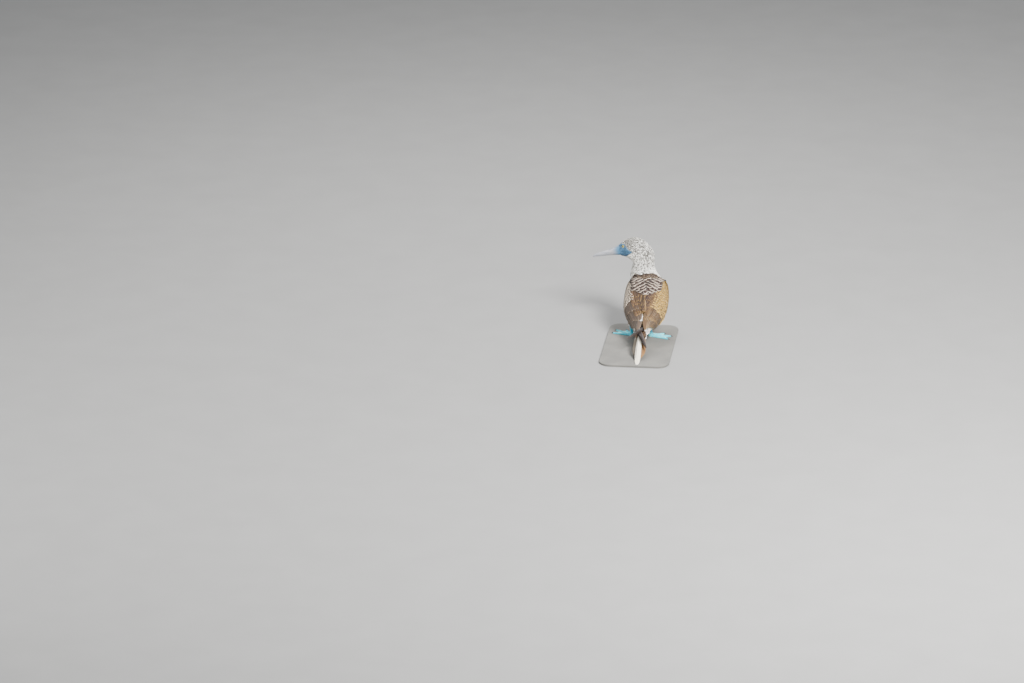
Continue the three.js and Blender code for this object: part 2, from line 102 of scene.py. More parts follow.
def turned(yaw, pitch):
    cy, sy = math.cos(math.radians(yaw)), math.sin(math.radians(yaw))
    cp, sp = math.cos(math.radians(pitch)), math.sin(math.radians(pitch))
    return np.array([[cy * cp, sy * cp, -sp], [-sy, cy, 0], [cy * sp, sy * sp, cp]])


HEADING = turned(HEAD_YAW, BILL_PITCH)      # rows: forward along the bill, the bird's left, up


def on_head(forward, left, up):
    f, l, u = np.broadcast_arrays(forward, left, up)
    return HEAD + np.stack([f, l, u], -1).astype(float) @ HEADING


def in_head(points):
    return (points - HEAD) @ HEADING.T


def trunk(x, y, z, low_y, low_z, half, turn=0):
    return [x, y, z, x, low_y, low_z, half, turn]


def neck(middle, reach, half, turn, rise):
    t = math.radians(turn)
    back = np.array([-math.sin(t), math.cos(t), math.tan(math.radians(rise))])
    back *= reach / np.linalg.norm(back)
    return [*(np.array(middle) + back), *(np.array(middle) - back), half, turn]


def head(f, u, low_f, low_u, half):
    return [*on_head(f, 0, u), *on_head(low_f, 0, low_u), half, 90 + HEAD_YAW]


BODY = [
    trunk(-2, 122, 66, 112, 42, 24),
    trunk(-3, 105, 80, 84, 42, 38),
    trunk(-4, 82, 99, 48, 47, 51),
    trunk(-4, 45, 127, 4, 58, 61),
    trunk(-4, 2, 160, -50, 73, 67),
    trunk(-4, -38, 188, -98, 90, 69),
    trunk(-2, -70, 209, -144, 116, 66),
    trunk(5, -90, 222, -174, 150, 59, 6),
    neck((15, -137, 201), 48, 51, 20, 30),
    neck((22, -144, 214), 49, 47, 44, 30),
    neck((22, -150, 229), 50, 45, 70, 31),
    head(-112, -66.5, -8, -97, 44),
    head(-110.5, -49.4, -16, -86, 43),
    head(-104.4, -31.5, -21, -77, 41),
    head(-96.8, -12.8, -22.5, -70, 39),
    head(-84.7, 3.8, -22, -65.5, 37),
    head(-71.7, 16.3, -20, -61, 35),
    head(-57.5, 23.7, -17, -56, 33.5),
    head(-42, 26.3, -12, -50, 31.5),
    head(-26.4, 26, -5, -44, 28.5),
    head(-9.5, 20.5, 3, -38, 23.5),
    head(4, 14.2, 12, -33.6, 19.2),
    head(15, 10.2, 19, -29.4, 16.4),
]
NECK_FROM = 8
HEAD_FROM = 13
HEAD_TO = len(BODY) - 1


def body_start(place):
    """The angle that the rings have turned by, so that lines along the body run straight."""
    return np.radians(curve(BODY, np.clip(place, 0, HEAD_TO))[..., 7]) * 90 / (90 + HEAD_YAW)


def body_ring(place, turn, grow):
    """A point of the body. Past the rump the rings run on, narrowing over the tail."""
    inside = np.clip(place, 0, HEAD_TO)
    row = curve(BODY, inside)
    row = row + (place - inside)[..., None] * 0.5 * (np.array(BODY[1]) - np.array(BODY[0]))
    over, under = row[..., 0:3], row[..., 3:6]
    half = np.maximum(row[..., 6] + grow, 1.0)
    facing = np.radians(row[..., 7])
    middle = (over + under) / 2
    up = over - middle
    up = unit(up) * (np.linalg.norm(up, axis=-1) + grow)[..., None]
    side = np.stack([np.cos(facing), np.sin(facing), 0 * facing], -1)
    side = side - up * np.sum(side * up, -1, keepdims=True) / np.sum(up * up, -1, keepdims=True)
    side = unit(side) * half[..., None]
    angle = turn + body_start(place)
    bulge = 1 + 0.036 * np.sin(2 * angle) ** 2
    return middle + up * (np.cos(angle) * bulge)[..., None] + side * (np.sin(angle) * bulge)[..., None]


def body(place, turn, grow=0.0):
    """The body's surface, eased over a station each way where the neck twists."""
    place, turn = np.broadcast_arrays(np.asarray(place, float), turn)
    ease = smooth(7.2, 9.0, place) * smooth(14.0, 12.0, place)
    return sum(share * body_ring(place + step * ease, turn, grow)
               for step, share in ((-1.0, 0.15), (-0.5, 0.22), (0.0, 0.26), (0.5, 0.22), (1.0, 0.15)))


def slopes(surface, a, b):
    e = 1e-3
    along_a = (surface(a + e, b) - surface(a - e, b)) / (2 * e)
    along_b = (surface(a, b + e) - surface(a, b - e)) / (2 * e)
    return along_a, along_b


def round_eye(side, angle, radius, out):
    """A place round an eye: at an angle and radius from its axis, and outward along it."""
    ahead, above = radius * np.cos(angle), radius * np.sin(angle)
    tilt, turn = math.radians(EYE_TILT), math.radians(EYE_AHEAD)
    sideways = out * math.cos(tilt) - above * math.sin(tilt)
    up = out * math.sin(tilt) + above * math.cos(tilt)
    forward = ahead * math.cos(turn) + sideways * math.sin(turn)
    left = sideways * math.cos(turn) - ahead * math.sin(turn)
    return on_head(EYE_AT[0] + forward, side * (EYE_AT[1] + left), EYE_AT[2] + up)


def eye_middle(side):
    return round_eye(side, 0.0, 0.0, 0.0)


def eye_axis(side):
    return unit(round_eye(side, 0.0, 0.0, 1.0) - eye_middle(side))


def bird_to_row():
    """How far the row frame lies from the bird's own, told by the left eye's solid."""
    low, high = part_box("eye_left")
    return np.array((low + high) / 2) / MM - eye_middle(1.0)


SHIFT = bird_to_row()


# Meshes from arrays

def mesh_piece(name, points, faces, fields=None, uv=None):
    """A mesh object from points in millimetres and faces given as arrays of one width each."""
    mesh = bpy.data.meshes.new(name)
    mesh.vertices.add(len(points))
    mesh.vertices.foreach_set("co", ((points + SHIFT) * MM).astype(np.float32).ravel())
    corners = np.concatenate([np.asarray(f, np.int32).ravel() for f in faces])
    widths = np.concatenate([np.full(len(f), np.shape(f)[1], np.int32) for f in faces])
    mesh.loops.add(len(corners))
    mesh.loops.foreach_set("vertex_index", corners)
    mesh.polygons.add(len(widths))
    mesh.polygons.foreach_set("loop_start", np.concatenate([[0], np.cumsum(widths)[:-1]]).astype(np.int32))
    mesh.polygons.foreach_set("use_smooth", np.ones(len(widths), bool))
    mesh.update(calc_edges=True)
    for field, values in (fields or {}).items():
        attribute = mesh.attributes.new(field, "FLOAT", "POINT")
        attribute.data.foreach_set("value", np.asarray(values, np.float32).ravel())
    if uv is not None:
        layer = mesh.uv_layers.new(name="OFBake")
        layer.data.foreach_set("uv", uv[corners].astype(np.float32).ravel())
    thing = bpy.data.objects.new(name, mesh)
    bpy.context.scene.collection.objects.link(thing)
    return thing


def grid_faces(rows, columns):
    """Quads between rows of points, each row closed on itself."""
    i = np.arange(rows - 1)[:, None]
    j = np.arange(columns)[None, :]
    k = (j + 1) % columns
    return np.stack([i * columns + j, i * columns + k, (i + 1) * columns + k, (i + 1) * columns + j],
                    -1).reshape(-1, 4)


def outward(points, faces):
    """The faces, turned over if they would point into the closed body."""
    volume = 0.0
    for face in faces:
        p = points[face]
        for k in range(1, p.shape[1] - 1):
            volume += np.sum(p[:, 0] * np.cross(p[:, k], p[:, k + 1]))
    return faces if volume > 0 else [f[:, ::-1] for f in faces]


def loft(rings):
    """Points and faces of a closed body through rings, with a fan on each end."""
    rings = np.asarray(rings, float)
    rows, columns = rings.shape[:2]
    ends = np.stack([rings[0].mean(0), rings[-1].mean(0)])
    points = np.concatenate([rings.reshape(-1, 3), ends])
    j = np.arange(columns)
    k = (j + 1) % columns
    first = np.stack([np.full(columns, rows * columns), k, j], -1)
    base = (rows - 1) * columns
    last = np.stack([np.full(columns, rows * columns + 1), base + j, base + k], -1)
    return points, outward(points, [grid_faces(rows, columns), np.concatenate([first, last])])


def joined(parts):
    """One set of points, faces, fields and map from several."""
    points, faces, fields, uv, start = [], [], {}, [], 0
    for part in parts:
        points.append(part["points"])
        faces += [np.asarray(f) + start for f in part["faces"]]
        for field, values in part.get("fields", {}).items():
            fields.setdefault(field, []).append(values)
        uv.append(part["uv"] if "uv" in part else np.zeros((len(part["points"]), 2)))
        start += len(part["points"])
    return (np.concatenate(points), faces, {k: np.concatenate(v) for k, v in fields.items()},
            np.concatenate(uv))


def finished(thing, material, slot, *nodes):
    """Gives a piece its material, hangs it on the root and hides the solids that it replaces."""
    thing.data.materials.append(material)
    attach(thing, "root")
    if nodes:
        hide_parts(*nodes)


def whole_piece(name, parts, material, slot, *nodes):
    """One finished piece from several parts."""
    points, faces, fields, uv = joined(parts)
    finished(mesh_piece(name, points, faces, fields, uv), material, slot, *nodes)


# Feathers

SMALL_VANE = np.array([(-1, 0), (0, 0.5), (1, 0), (0, -0.5)])
BROAD_VANE = np.array([(-1, -0.1), (-0.5, 0.3), (-0.07, 0.35), (0, 1.0), (0.07, 0.35), (0.5, 0.3),
                       (1, -0.1), (0.5, -0.2), (0, -0.5), (-0.5, -0.2)])
BARB_SLANT = 1.3                 # how far barbs run forward for each millimetre outward


def vanes(centre, across, normal, thick, section, patch, camber=0.12, dark=None, ragged=0.0):
    """Closed thin vanes: a centre line, half-width vectors and normals for each, with their fields. The
    patch is each feather's place on the map."""
    count, steps = centre.shape[:2]
    k, lift = section[:, 0], section[:, 1]
    half = np.linalg.norm(across, axis=-1)
    width = np.ones((count, steps, len(section)))
    if ragged:
        width += ragged * chance.normal(size=width.shape) * (np.abs(k) == 1)
    sideways = across[:, :, None, :] * (k * width)[..., None]
    raised = lift * np.broadcast_to(thick, (count, 1))[:, :, None] - camber * half[..., None] * k**2
    body_points = centre[:, :, None, :] + sideways + normal[:, :, None, :] * raised[..., None]
    root = centre[:, :1]
    tip = centre[:, -1:] + (centre[:, -1:] - centre[:, -2:-1]) * 0.3
    per = steps * len(section) + 2
    points = np.concatenate([body_points.reshape(count, -1, 3), root, tip], 1)
    quads = grid_faces(steps, len(section))
    j = np.arange(len(section))
    n = (j + 1) % len(section)
    base = (steps - 1) * len(section)
    fans = np.concatenate([np.stack([np.full_like(j, per - 2), n, j], -1),
                           np.stack([np.full_like(j, per - 1), base + j, base + n], -1)])
    offset = (np.arange(count) * per)[:, None, None]
    run = np.concatenate([np.zeros((count, 1)),
                          np.cumsum(np.linalg.norm(np.diff(centre, axis=1), axis=-1), 1)], 1)
    share = run / run[:, -1:]
    along = np.repeat(share[..., None], len(section), 2)
    sides = np.broadcast_to(k, along.shape)
    barb = run[..., None] - np.abs(k) * half[..., None] * BARB_SLANT
    edge = np.minimum(half[..., None] * (1 - np.abs(k)), (run[:, -1:] - run)[..., None] * 0.9 + 0.1)

    def field(values, at_root, at_tip):
        flat = np.broadcast_to(values, along.shape).reshape(count, -1)
        return np.concatenate([flat, np.broadcast_to(at_root, (count, 1)),
                               np.broadcast_to(at_tip, (count, 1))], 1).ravel()

    def each(values):
        values = np.zeros(count) if values is None else np.broadcast_to(values, count)
        return np.repeat(values, per)

    fields = {
        "along": field(along, 0, 1),
        "across": field(sides, 0, 0),
        "barb": field(barb, 0, run[:, -1:]),
        "edge": field(edge, 1, 0),
        "tone": each(chance.random(count)),
        "dark": each(dark),
    }
    local = np.stack([fields["across"], fields["along"] * 2 - 1], -1) * 0.0015
    uv = np.repeat(patch, per, 0) + local
    points = points.reshape(-1, 3)
    faces = outward(points, [(quads + offset).reshape(-1, 4), (fans + offset).reshape(-1, 3)])
    return {"points": points, "faces": faces, "fields": fields, "uv": uv}


# Outlines of a feather: the share of its length, and of its half width there
CONTOUR = np.array([(0, 0.45), (0.2, 0.8), (0.42, 1.0), (0.64, 1.0), (0.82, 0.86), (0.94, 0.6), (1, 0.25)])
BLUNT = np.array([(0, 0.45), (0.2, 0.8), (0.42, 1.0), (0.66, 1.0), (0.82, 0.94), (0.91, 0.8), (0.97, 0.52),
                  (1, 0.22)])
LANCE = np.array([(0, 0.5), (0.3, 0.95), (0.6, 1.0), (0.85, 0.65), (1, 0.15)])
FLIGHT = np.array([(0, 0.3), (0.08, 0.6), (0.18, 0.85), (0.3, 0.97), (0.42, 1), (0.54, 1), (0.66, 0.98),
                   (0.77, 0.9), (0.86, 0.76), (0.93, 0.55), (0.98, 0.32), (1, 0.12)])


def lay(surface, a, b, length, width, profile, depth, proud, way, sway=0.0, outward=1.0, tilt=0.0,
        slowest=1.0):
    """Feathers lying along a surface from roots at a and b: centre lines, half widths and normals.
    They rise from their roots' depth to stand a little proud at the tips. Where the surface is pinched,
    so that a station is fewer millimetres long than the slowest, they are shorter."""
    steps = len(profile)
    share, shape = profile[:, 0], profile[:, 1]
    count = len(a)
    length = np.broadcast_to(length, count).astype(float)
    sway = np.broadcast_to(sway, count)
    pa, pb = [np.asarray(a, float)], [np.asarray(b, float)]
    for k in range(steps - 1):
        da, db = slopes(surface, pa[-1], pb[-1])
        step = length * (share[k + 1] - share[k])
        pa.append(pa[-1] + way * step * np.cos(sway) / np.maximum(np.linalg.norm(da, axis=-1), slowest))
        pb.append(pb[-1] + step * np.sin(sway) / np.linalg.norm(db, axis=-1))
    pa, pb = np.stack(pa, 1), np.stack(pb, 1)
    da, db = slopes(surface, pa, pb)
    normal = unit(np.cross(da, db)) * outward
    depth = np.broadcast_to(depth, count)[:, None]
    proud = np.broadcast_to(proud, count)[:, None]
    rise = -depth * (1 - share) ** 1.5 + proud * share**2
    centre = surface(pa, pb) + normal * rise[..., None]
    along = np.gradient(centre, axis=1)
    across = unit(np.cross(normal, along))
    normal = unit(normal + across * np.broadcast_to(tilt, count)[:, None, None])
    across = unit(np.cross(normal, along)) * -1
    half = np.broadcast_to(width, count)[:, None] / 2 * shape
    return centre, across * half[..., None], normal


def scatter(surface, first, last, row_gap, side_gap, around=(-math.pi, math.pi), slant=0.0, loose=0.3):
    """Staggered rows of roots over a surface, thinned where the rows crowd together."""
    a_all, b_all = [], []
    ring = np.linspace(*around, 241)
    a, odd = first, 0
    while a < last:
        line = a + slant * np.sqrt(ring**2 + 0.02)
        da, _ = slopes(surface, line, ring)
        speed = np.linalg.norm(da, axis=-1)
        gap_here = row_gap(a) if callable(row_gap) else row_gap
        side_here = side_gap(a) if callable(side_gap) else side_gap
        fastest = np.percentile(speed, 95)
        points = surface(line, ring)
        run = np.concatenate([[0], np.cumsum(np.linalg.norm(np.diff(points, axis=0), axis=-1))])
        count = max(int(run[-1] / side_here), 3)
        spots = (np.arange(count) + 0.5 * odd + chance.uniform(-loose, loose, count) + 0.25) / count
        b = np.interp(spots * run[-1], run, ring)
        line_at = np.interp(b, ring, line)
        keep = chance.random(count) < np.interp(b, ring, speed) / fastest * 1.15
        a_all.append((line_at + chance.uniform(-loose, loose, count) * gap_here / fastest)[keep])
        b_all.append(b[keep])
        a += gap_here / fastest
        odd = 1 - odd
    return np.concatenate(a_all), np.concatenate(b_all)


# Materials: each starts from what the real surface is

def colour(code):
    """An sRGB hex value as linear red, green, blue and alpha."""
    parts = [int(code[i:i + 2], 16) / 255 for i in (1, 3, 5)]
    return (*[c / 12.92 if c <= 0.04045 else ((c + 0.055) / 1.055) ** 2.4 for c in parts], 1.0)


def add(tree, kind, inputs=(), out=0, **settings):
    """Adds a node with its settings and gives back one output. Its inputs are values, or the outputs
    that they come from."""
    node = tree.nodes.new("ShaderNode" + kind)
    for key, value in settings.items():
        setattr(node, key, value)
    for key, value in (inputs.items() if isinstance(inputs, dict) else enumerate(inputs)):
        if isinstance(value, bpy.types.NodeSocket):
            tree.links.new(value, node.inputs[key])
        else:
            node.inputs[key].default_value = value
    return node.outputs[out]


def new_material(name, **sockets):
    material = bpy.data.materials.new(name)
    material.use_nodes = True
    shader = material.node_tree.nodes["Principled BSDF"]
    for socket, value in sockets.items():
        shader.inputs[socket.replace("_", " ")].default_value = value
    return material, material.node_tree, shader


def plumage(name, base, fringe, shaft, fringe_mm=0.8, tip_only=False, pale=None, variety=0.12,
            barbs_mm=0.9, roughness=0.72, soft=0.3):
    """Vaned feathers: a base colour, a worn fringe of some millimetres, a shaft line, and barbs that run
    out to the edge. A feather marked dark keeps its base colour, and others go towards the pale one.
    Real barbs lie 0.3 mm apart. They are drawn wider, so that they show."""
    material, tree, shader = new_material(name, Roughness=roughness, Sheen_Weight=0.12,
                                          Sheen_Roughness=0.5, Specular_IOR_Level=0.3)
    along, tone, dark, barb, edge, across = (
        add(tree, "Attribute", out="Fac", attribute_name=field)
        for field in ("along", "tone", "dark", "barb", "edge", "across"))
    across = add(tree, "Math", (across,), operation="ABSOLUTE")
    x = add(tree, "Math", (barb, 0.5), operation="MULTIPLY")
    y = add(tree, "Math", (tone, 57.0), operation="MULTIPLY")
    spot = add(tree, "CombineXYZ", (x, y, across))
    uneven = add(tree, "TexNoise", {"Vector": spot, "Scale": 1.0, "Detail": 3.0})
    uneven = add(tree, "Math", (uneven, 0.5), operation="SUBTRACT")

    ground = colour(base)
    if pale:
        ground = add(tree, "Mix", {0: dark, 6: colour(pale), 7: ground}, 2, data_type="RGBA")
    wavering = add(tree, "Math", (uneven, 0.9 * fringe_mm, edge), operation="MULTIPLY_ADD")
    fringed = add(tree, "MapRange", (wavering, 1.5 * fringe_mm, soft * fringe_mm),
                  interpolation_type="SMOOTHSTEP")
    if tip_only:
        outer = add(tree, "MapRange", (along, 0.72, 0.88), interpolation_type="SMOOTHSTEP")
        fringed = add(tree, "Math", (fringed, outer), operation="MULTIPLY")
    tinted = add(tree, "Mix", {0: fringed, 6: ground, 7: colour(fringe)}, 2, data_type="RGBA")
    line = add(tree, "MapRange", (across, 0.1, 0.04, 0.0, 0.7), interpolation_type="SMOOTHSTEP")
    tinted = add(tree, "Mix", {0: line, 6: tinted, 7: colour(shaft)}, 2, data_type="RGBA")

    parted = add(tree, "Math", (uneven, 5.0), operation="MULTIPLY")
    angle = add(tree, "Math", (barb, 2 * math.pi / barbs_mm, parted), operation="MULTIPLY_ADD")
    wave = add(tree, "Math", (angle,), operation="SINE")
    value = add(tree, "Math", (tone, 2 * variety, 1 - variety), operation="MULTIPLY_ADD")
    value = add(tree, "Math", (wave, 0.02, value), operation="MULTIPLY_ADD")
    value = add(tree, "Math", (uneven, 0.3, value), operation="MULTIPLY_ADD")
    shaded = add(tree, "HueSaturation", {"Value": value, "Color": tinted})
    tree.links.new(shaded, shader.inputs["Base Color"])
    bump = add(tree, "Bump", {"Height": wave, "Strength": 0.22, "Distance": 0.0002})
    tree.links.new(bump, shader.inputs["Normal"])
    return material


def worn_surface(name, low, high, grain_mm, bump_mm, patch_mm=11.0, stretch=(1, 1, 1), fields=(),
                 **sockets):
    """Skin or horn: two near colours in soft patches, a fine grain in relief whose grooves get painted shade,
    and further colours where fields of the mesh say so."""
    material, tree, shader = new_material(name, **sockets)
    place = add(tree, "TexCoord", out="Object")
    drawn = add(tree, "Mapping", {"Vector": place, "Scale": stretch})
    wide = add(tree, "TexNoise", {"Vector": drawn, "Scale": 1 / (patch_mm * MM), "Detail": 4.0})
    patches = add(tree, "MapRange", (wide, 0.35, 0.68), interpolation_type="SMOOTHSTEP")
    tinted = add(tree, "Mix", {0: patches, 6: colour(low), 7: colour(high)}, 2, data_type="RGBA")
    for field, tint in fields:
        share = add(tree, "Attribute", out="Fac", attribute_name=field)
        tinted = add(tree, "Mix", {0: share, 6: tinted, 7: colour(tint)}, 2, data_type="RGBA")
    grain = add(tree, "TexVoronoi", {"Vector": drawn, "Scale": 1 / (grain_mm * MM)})
    edge = add(tree, "MapRange", (grain, 0.1, 0.7, 0.0, 1.0), interpolation_type="SMOOTHSTEP")
    # Painted shade: the grain's grooves, which the bump below sinks, are darkened towards the low colour.
    rim = add(tree, "Math", (edge, 0.16), operation="MULTIPLY")
    tinted = add(tree, "Mix", {0: rim, 6: tinted, 7: colour(low)}, 2, data_type="RGBA",
                 blend_type="MULTIPLY")
    tree.links.new(tinted, shader.inputs["Base Color"])
    bump = add(tree, "Bump", {"Height": edge, "Strength": 0.5, "Distance": bump_mm * MM}, invert=True)
    tree.links.new(bump, shader.inputs["Normal"])
    return material


# Where the markings lie

def angle_of(place, turn):
    """Degrees round the body from its upper line, from -180 to 180."""
    around = turn + body_start(place)
    return np.degrees((around + np.pi) % (2 * np.pi) - np.pi)


FACE_EDGE = np.array([(-48, 10), (-40, 2), (-33, -8), (-27, -20), (-21.5, -31), (-18, -31), (-12, -22),
                      (-4, -15.5), (6, -13), (12, -7), (15, 2), (18, 9), (30, 12)], float)


def bareness(points):
    """Millimetres that points of the head lie inside the bare skin of the face or round an eye."""
    f, _, u = np.moveaxis(in_head(points), -1, 0)
    edge = sum(np.interp(u + step, FACE_EDGE[:, 0], FACE_EDGE[:, 1]) for step in (-3, -1.5, 0, 1.5, 3)) / 5
    eyes = [np.linalg.norm(points - eye_middle(s) - 5.5 * eye_axis(s), axis=-1) for s in SIDES.values()]
    return np.maximum(f - edge, 9.8 - np.minimum(*eyes))


def coat_depth(place):
    return np.interp(place, [0, 6, 9, 13, 17, 20, 22], [5, 5.5, 5, 3.2, 2.4, 1.6, 0.8])


def mantle(place, angle):
    """True on the brown back, which narrows to a V between the wings. A small spot on the rump is white."""
    half = np.interp(place, [1.5, 3.5, 5, 7.3, 8.2], [26, 48, 66, 78, 62])
    front = 7.9 + 0.35 * np.cos(np.radians(angle * 4 + 40))
    spot = (np.abs(place - 2.5) < 0.22) & (np.abs(angle - 4) < 9)
    return (np.abs(angle) < half) & (place > 1.6) & (place < front) & ~spot


# The wings: the upper edge, bulge and lower edge at stations from the wrist back

WING = [
    [-134, 58, 168, 67, 163, 64, 152],
    [-114, 51, 191, 85, 186, 71, 126],
    [-80, 44, 202, 97, 184, 76, 106],
    [-40, 35, 189, 104, 157, 76, 91],
    [0, 24, 167, 102, 130, 71, 76],
    [40, 14, 140, 82, 106, 57, 63],
    [80, 6, 111, 57, 92, 42, 56],
    [110, 8, 92, 40, 84, 33, 55],
    [142, 14, 75, 28, 73, 26, 54],
    [172, 20, 64, 24, 63, 22, 54],
]
CORE_TO = 4.9
WING_TIP = {"left": (-29.0, 234.0, 38.0), "right": (-49.0, 195.0, 58.0)}


def wing_surface(side):
    """The folded wing: a point for each station and share from the upper to the lower edge."""
    crossing = -3.2 if side > 0 else 2.8

    def surface(a, b):
        row = curve(WING, a)
        y = row[..., 0]
        t = b[..., None] if np.ndim(b) else b
        x_z = (row[..., 1:3] * (1 - t) ** 2 + row[..., 3:5] * 2 * t * (1 - t) + row[..., 5:7] * t**2)
        lift = crossing * smooth(40, 110, y)
        return np.stack([side * x_z[..., 0] + LEAN, y, x_z[..., 1] + lift], -1)

    return surface


# Skin

# Round an eye: millimetres off its axis, and how far out the lids stand there
LID = np.array([(0, 0), (4.6, 1.5), (5.3, 4.5), (5.7, 5.6), (6.3, 6.2), (7.2, 6.2), (8, 5.5), (8.7, 4.2),
                (11, 3.4)])


def skin_piece():
    """One skin over trunk, neck and head, inside the coat, and bare on the face."""
    places = np.concatenate([np.linspace(0, 18.5, 230)[:-1], np.linspace(18.5, HEAD_TO, 130)])
    turns = np.linspace(0, 2 * np.pi, 257)[:-1]
    a, b = np.meshgrid(places, turns, indexing="ij")
    outer = body(a, b)
    bare = smooth(-1.5, 1.5, bareness(outer)) * smooth(16.5, 17.5, a)
    points = body(a, b, -coat_depth(a) * (1 - bare) - 0.1)
    f, l, u = np.moveaxis(in_head(points), -1, 0)
    crease = np.interp(f, [-26, -25, -6, 18], [-40, -26, -15.2, -10.5])
    inset = 0.9 * np.exp(-((u - crease) / 0.9) ** 2) * smooth(-27, -22, f) * bare
    l = l - np.sign(l) * inset
    points = on_head(np.minimum(f, BILL_ROOT), l, u) * bare[..., None] + points * (1 - bare[..., None])
    for side in SIDES.values():
        rel = points - eye_middle(side)
        out = rel @ eye_axis(side)
        off = np.linalg.norm(rel - out[..., None] * eye_axis(side), axis=-1)
        lid = np.interp(off, LID[:, 0], LID[:, 1]) + 0.12 * np.sin(off * 7) * smooth(5.5, 7, off)
        moved = (mix(out, lid, smooth(10.5, 8.6, off)) - out) * (out > 0)
        points = points + eye_axis(side) * moved[..., None]
    shell, faces = loft(points)
    uv = np.stack([b / (2 * np.pi), a / HEAD_TO], -1).reshape(-1, 2)
    uv = np.concatenate([uv, [[0.5, 0], [0.5, 1]]])
    brown = mantle(a, angle_of(a, b)).astype(float).ravel()
    downy = 1 - smooth(-3.4, -2.2, bareness(outer)) * smooth(16.5, 17.5, a)
    part = {"points": shell, "faces": faces, "uv": uv,
            "fields": {"downy": np.append(downy.ravel(), [1, 0]), "brown": np.append(brown, [0, 0])}}
    thighs = []
    for x in LEG_X.values():
        surface = thigh_surface(x)
        h, t = np.meshgrid(np.linspace(0, 3, 24), turns[::8], indexing="ij")
        points, faces = loft(surface(h, t, -2.0))
        thighs.append({"points": points, "faces": faces,
                       "uv": np.full((len(points), 2), 0.5),
                       "fields": {"downy": np.ones(len(points)), "brown": np.zeros(len(points))}})
    whole_piece("skin", [part, *thighs], down_material(), "blue_skin",
                "torso", "neck", "head", "thigh_left", "thigh_right")


THIGH = [(1.0, 9, 47.3, 10, 12), (0.98, 4, 55, 14, 16), (0.92, -6, 68, 18, 23), (0.85, -20, 90, 20, 28)]


def thigh_surface(x):
    rows = [(x * share, *rest) for share, *rest in THIGH]

    def surface(h, t, grow=0.0):
        row = curve(rows, h)
        wide = (row[..., 3] + grow) * np.cos(t)
        deep = (row[..., 4] + grow) * np.sin(t)
        return np.stack([row[..., 0] + wide, row[..., 1] + deep, row[..., 2] + 0 * t], -1)

    return surface


def down_material():
    """Down over skin, matt and white, brown under the mantle, and a bare blue face with fine pores."""
    return worn_surface("Facial skin, bare, pored, and down", "#28475e", "#3f6887", 0.9, 0.12,
                        fields=(("downy", "#e9e4d6"), ("brown", "#33261c")), Roughness=0.5,
                        Subsurface_Weight=0.08, Subsurface_Scale=0.002)


# The coat

def body_uv(a, b):
    return np.stack([(b % (2 * np.pi)) / (2 * np.pi), np.clip(a, 0, HEAD_TO) / HEAD_TO], -1)


def wing_cover(points):
    """True where a trunk feather's root would lie hidden under a folded wing."""
    hidden = np.zeros(len(points), bool)
    for side in SIDES.values():
        a, t = np.meshgrid(np.linspace(0.9, 6.4, 45), np.linspace(0.06, 0.94, 21), indexing="ij")
        shell = wing_surface(side)(a, t).reshape(-1, 3)
        for start in range(0, len(points), 2000):
            some = points[start:start + 2000]
            apart = np.linalg.norm(some[:, None] - shell[None], axis=-1)
            nearest = shell[apart.argmin(1)]
            outside = (nearest[:, 0] - some[:, 0]) * side > -2
            hidden[start:start + 2000] |= (apart.min(1) < 28) & outside & ((some[:, 0] - LEAN) * side > 25)
    return hidden


def coat(name, a, b, length, width, proud, profile, material, slot, dark=None, sway=0.06,
         thick=0.35, ragged=0.05, section=SMALL_VANE, fringes=1.0):
    """Body feathers from roots at a and b, as one piece. Their fringes are so many times wider than the
    material's."""
    count = len(a)
    length = length * chance.uniform(0.85, 1.15, count)
    width = width * chance.uniform(0.88, 1.12, count)
    lean = chance.normal(0, sway, count)
    depth = coat_depth(a) * 0.9
    proud = proud + chance.normal(0, 0.18, count)
    centre, across, normal = lay(body, a, b, length, width, profile, depth, proud, -1, lean,
                                 tilt=chance.normal(0, 0.05, count), slowest=18.0)
    part = vanes(centre, across, normal, thick, section, body_uv(a, b), dark=dark, ragged=ragged)
    part["fields"]["edge"] /= np.repeat(np.broadcast_to(fringes, count), len(part["points"]) // count)
    whole_piece(name, [part], material, slot)


def head_coat(material):
    """Narrow pointed feathers on the head and neck, white, and many with a dark streak. They are smallest
    round the face, and fewer are streaked down the neck."""
    stations = [8, 12, 16, 20, 22]
    a, b = scatter(body, 8.3, 21.9, lambda p: np.interp(p, stations, [5.6, 5.2, 3.8, 2.3, 1.6]),
                   lambda p: np.interp(p, stations, [3.9, 3.5, 2.6, 1.8, 1.5]))
    inside = bareness(body(a, b))
    angle = angle_of(a, b)
    keep = (inside < -0.6) & ~mantle(a, angle)
    a, b, inside, angle = (v[keep] for v in (a, b, inside, angle))
    size = np.interp(a, stations, [18, 17, 13, 8, 4.8]) * np.interp(-inside, [0, 14], [0.5, 1.0])
    often = np.interp(a, [8.3, 9.5, 11, 14, 16, 18, 21], [0.12, 0.32, 0.46, 0.56, 0.7, 0.92, 1.0])
    often = often * np.interp(np.abs(angle), [0, 60, 100, 135, 180], [1.0, 0.95, 0.75, 0.3, 0.1])
    often = often * np.where(a < 11.5, np.interp(angle, [-70, -10], [0.25, 1.0]), 1.0)
    streaky = chance.random(len(a)) < often
    dark = np.where(streaky, chance.uniform(0.82, 1.0, len(a)), chance.uniform(0, 0.12, len(a)))
    fringes = np.interp(a, stations, [1.8, 1.5, 0.9, 0.4, 0.35])
    for number in range(3):
        pick = np.arange(len(a)) % 3 == number
        coat(f"head_feathers_{number + 1}", a[pick], b[pick], size[pick], size[pick] * 0.34, 0.35, LANCE,
             material, "streaked_plumage", dark=dark[pick], sway=0.1, thick=0.25, ragged=0.0,
             fringes=fringes[pick])


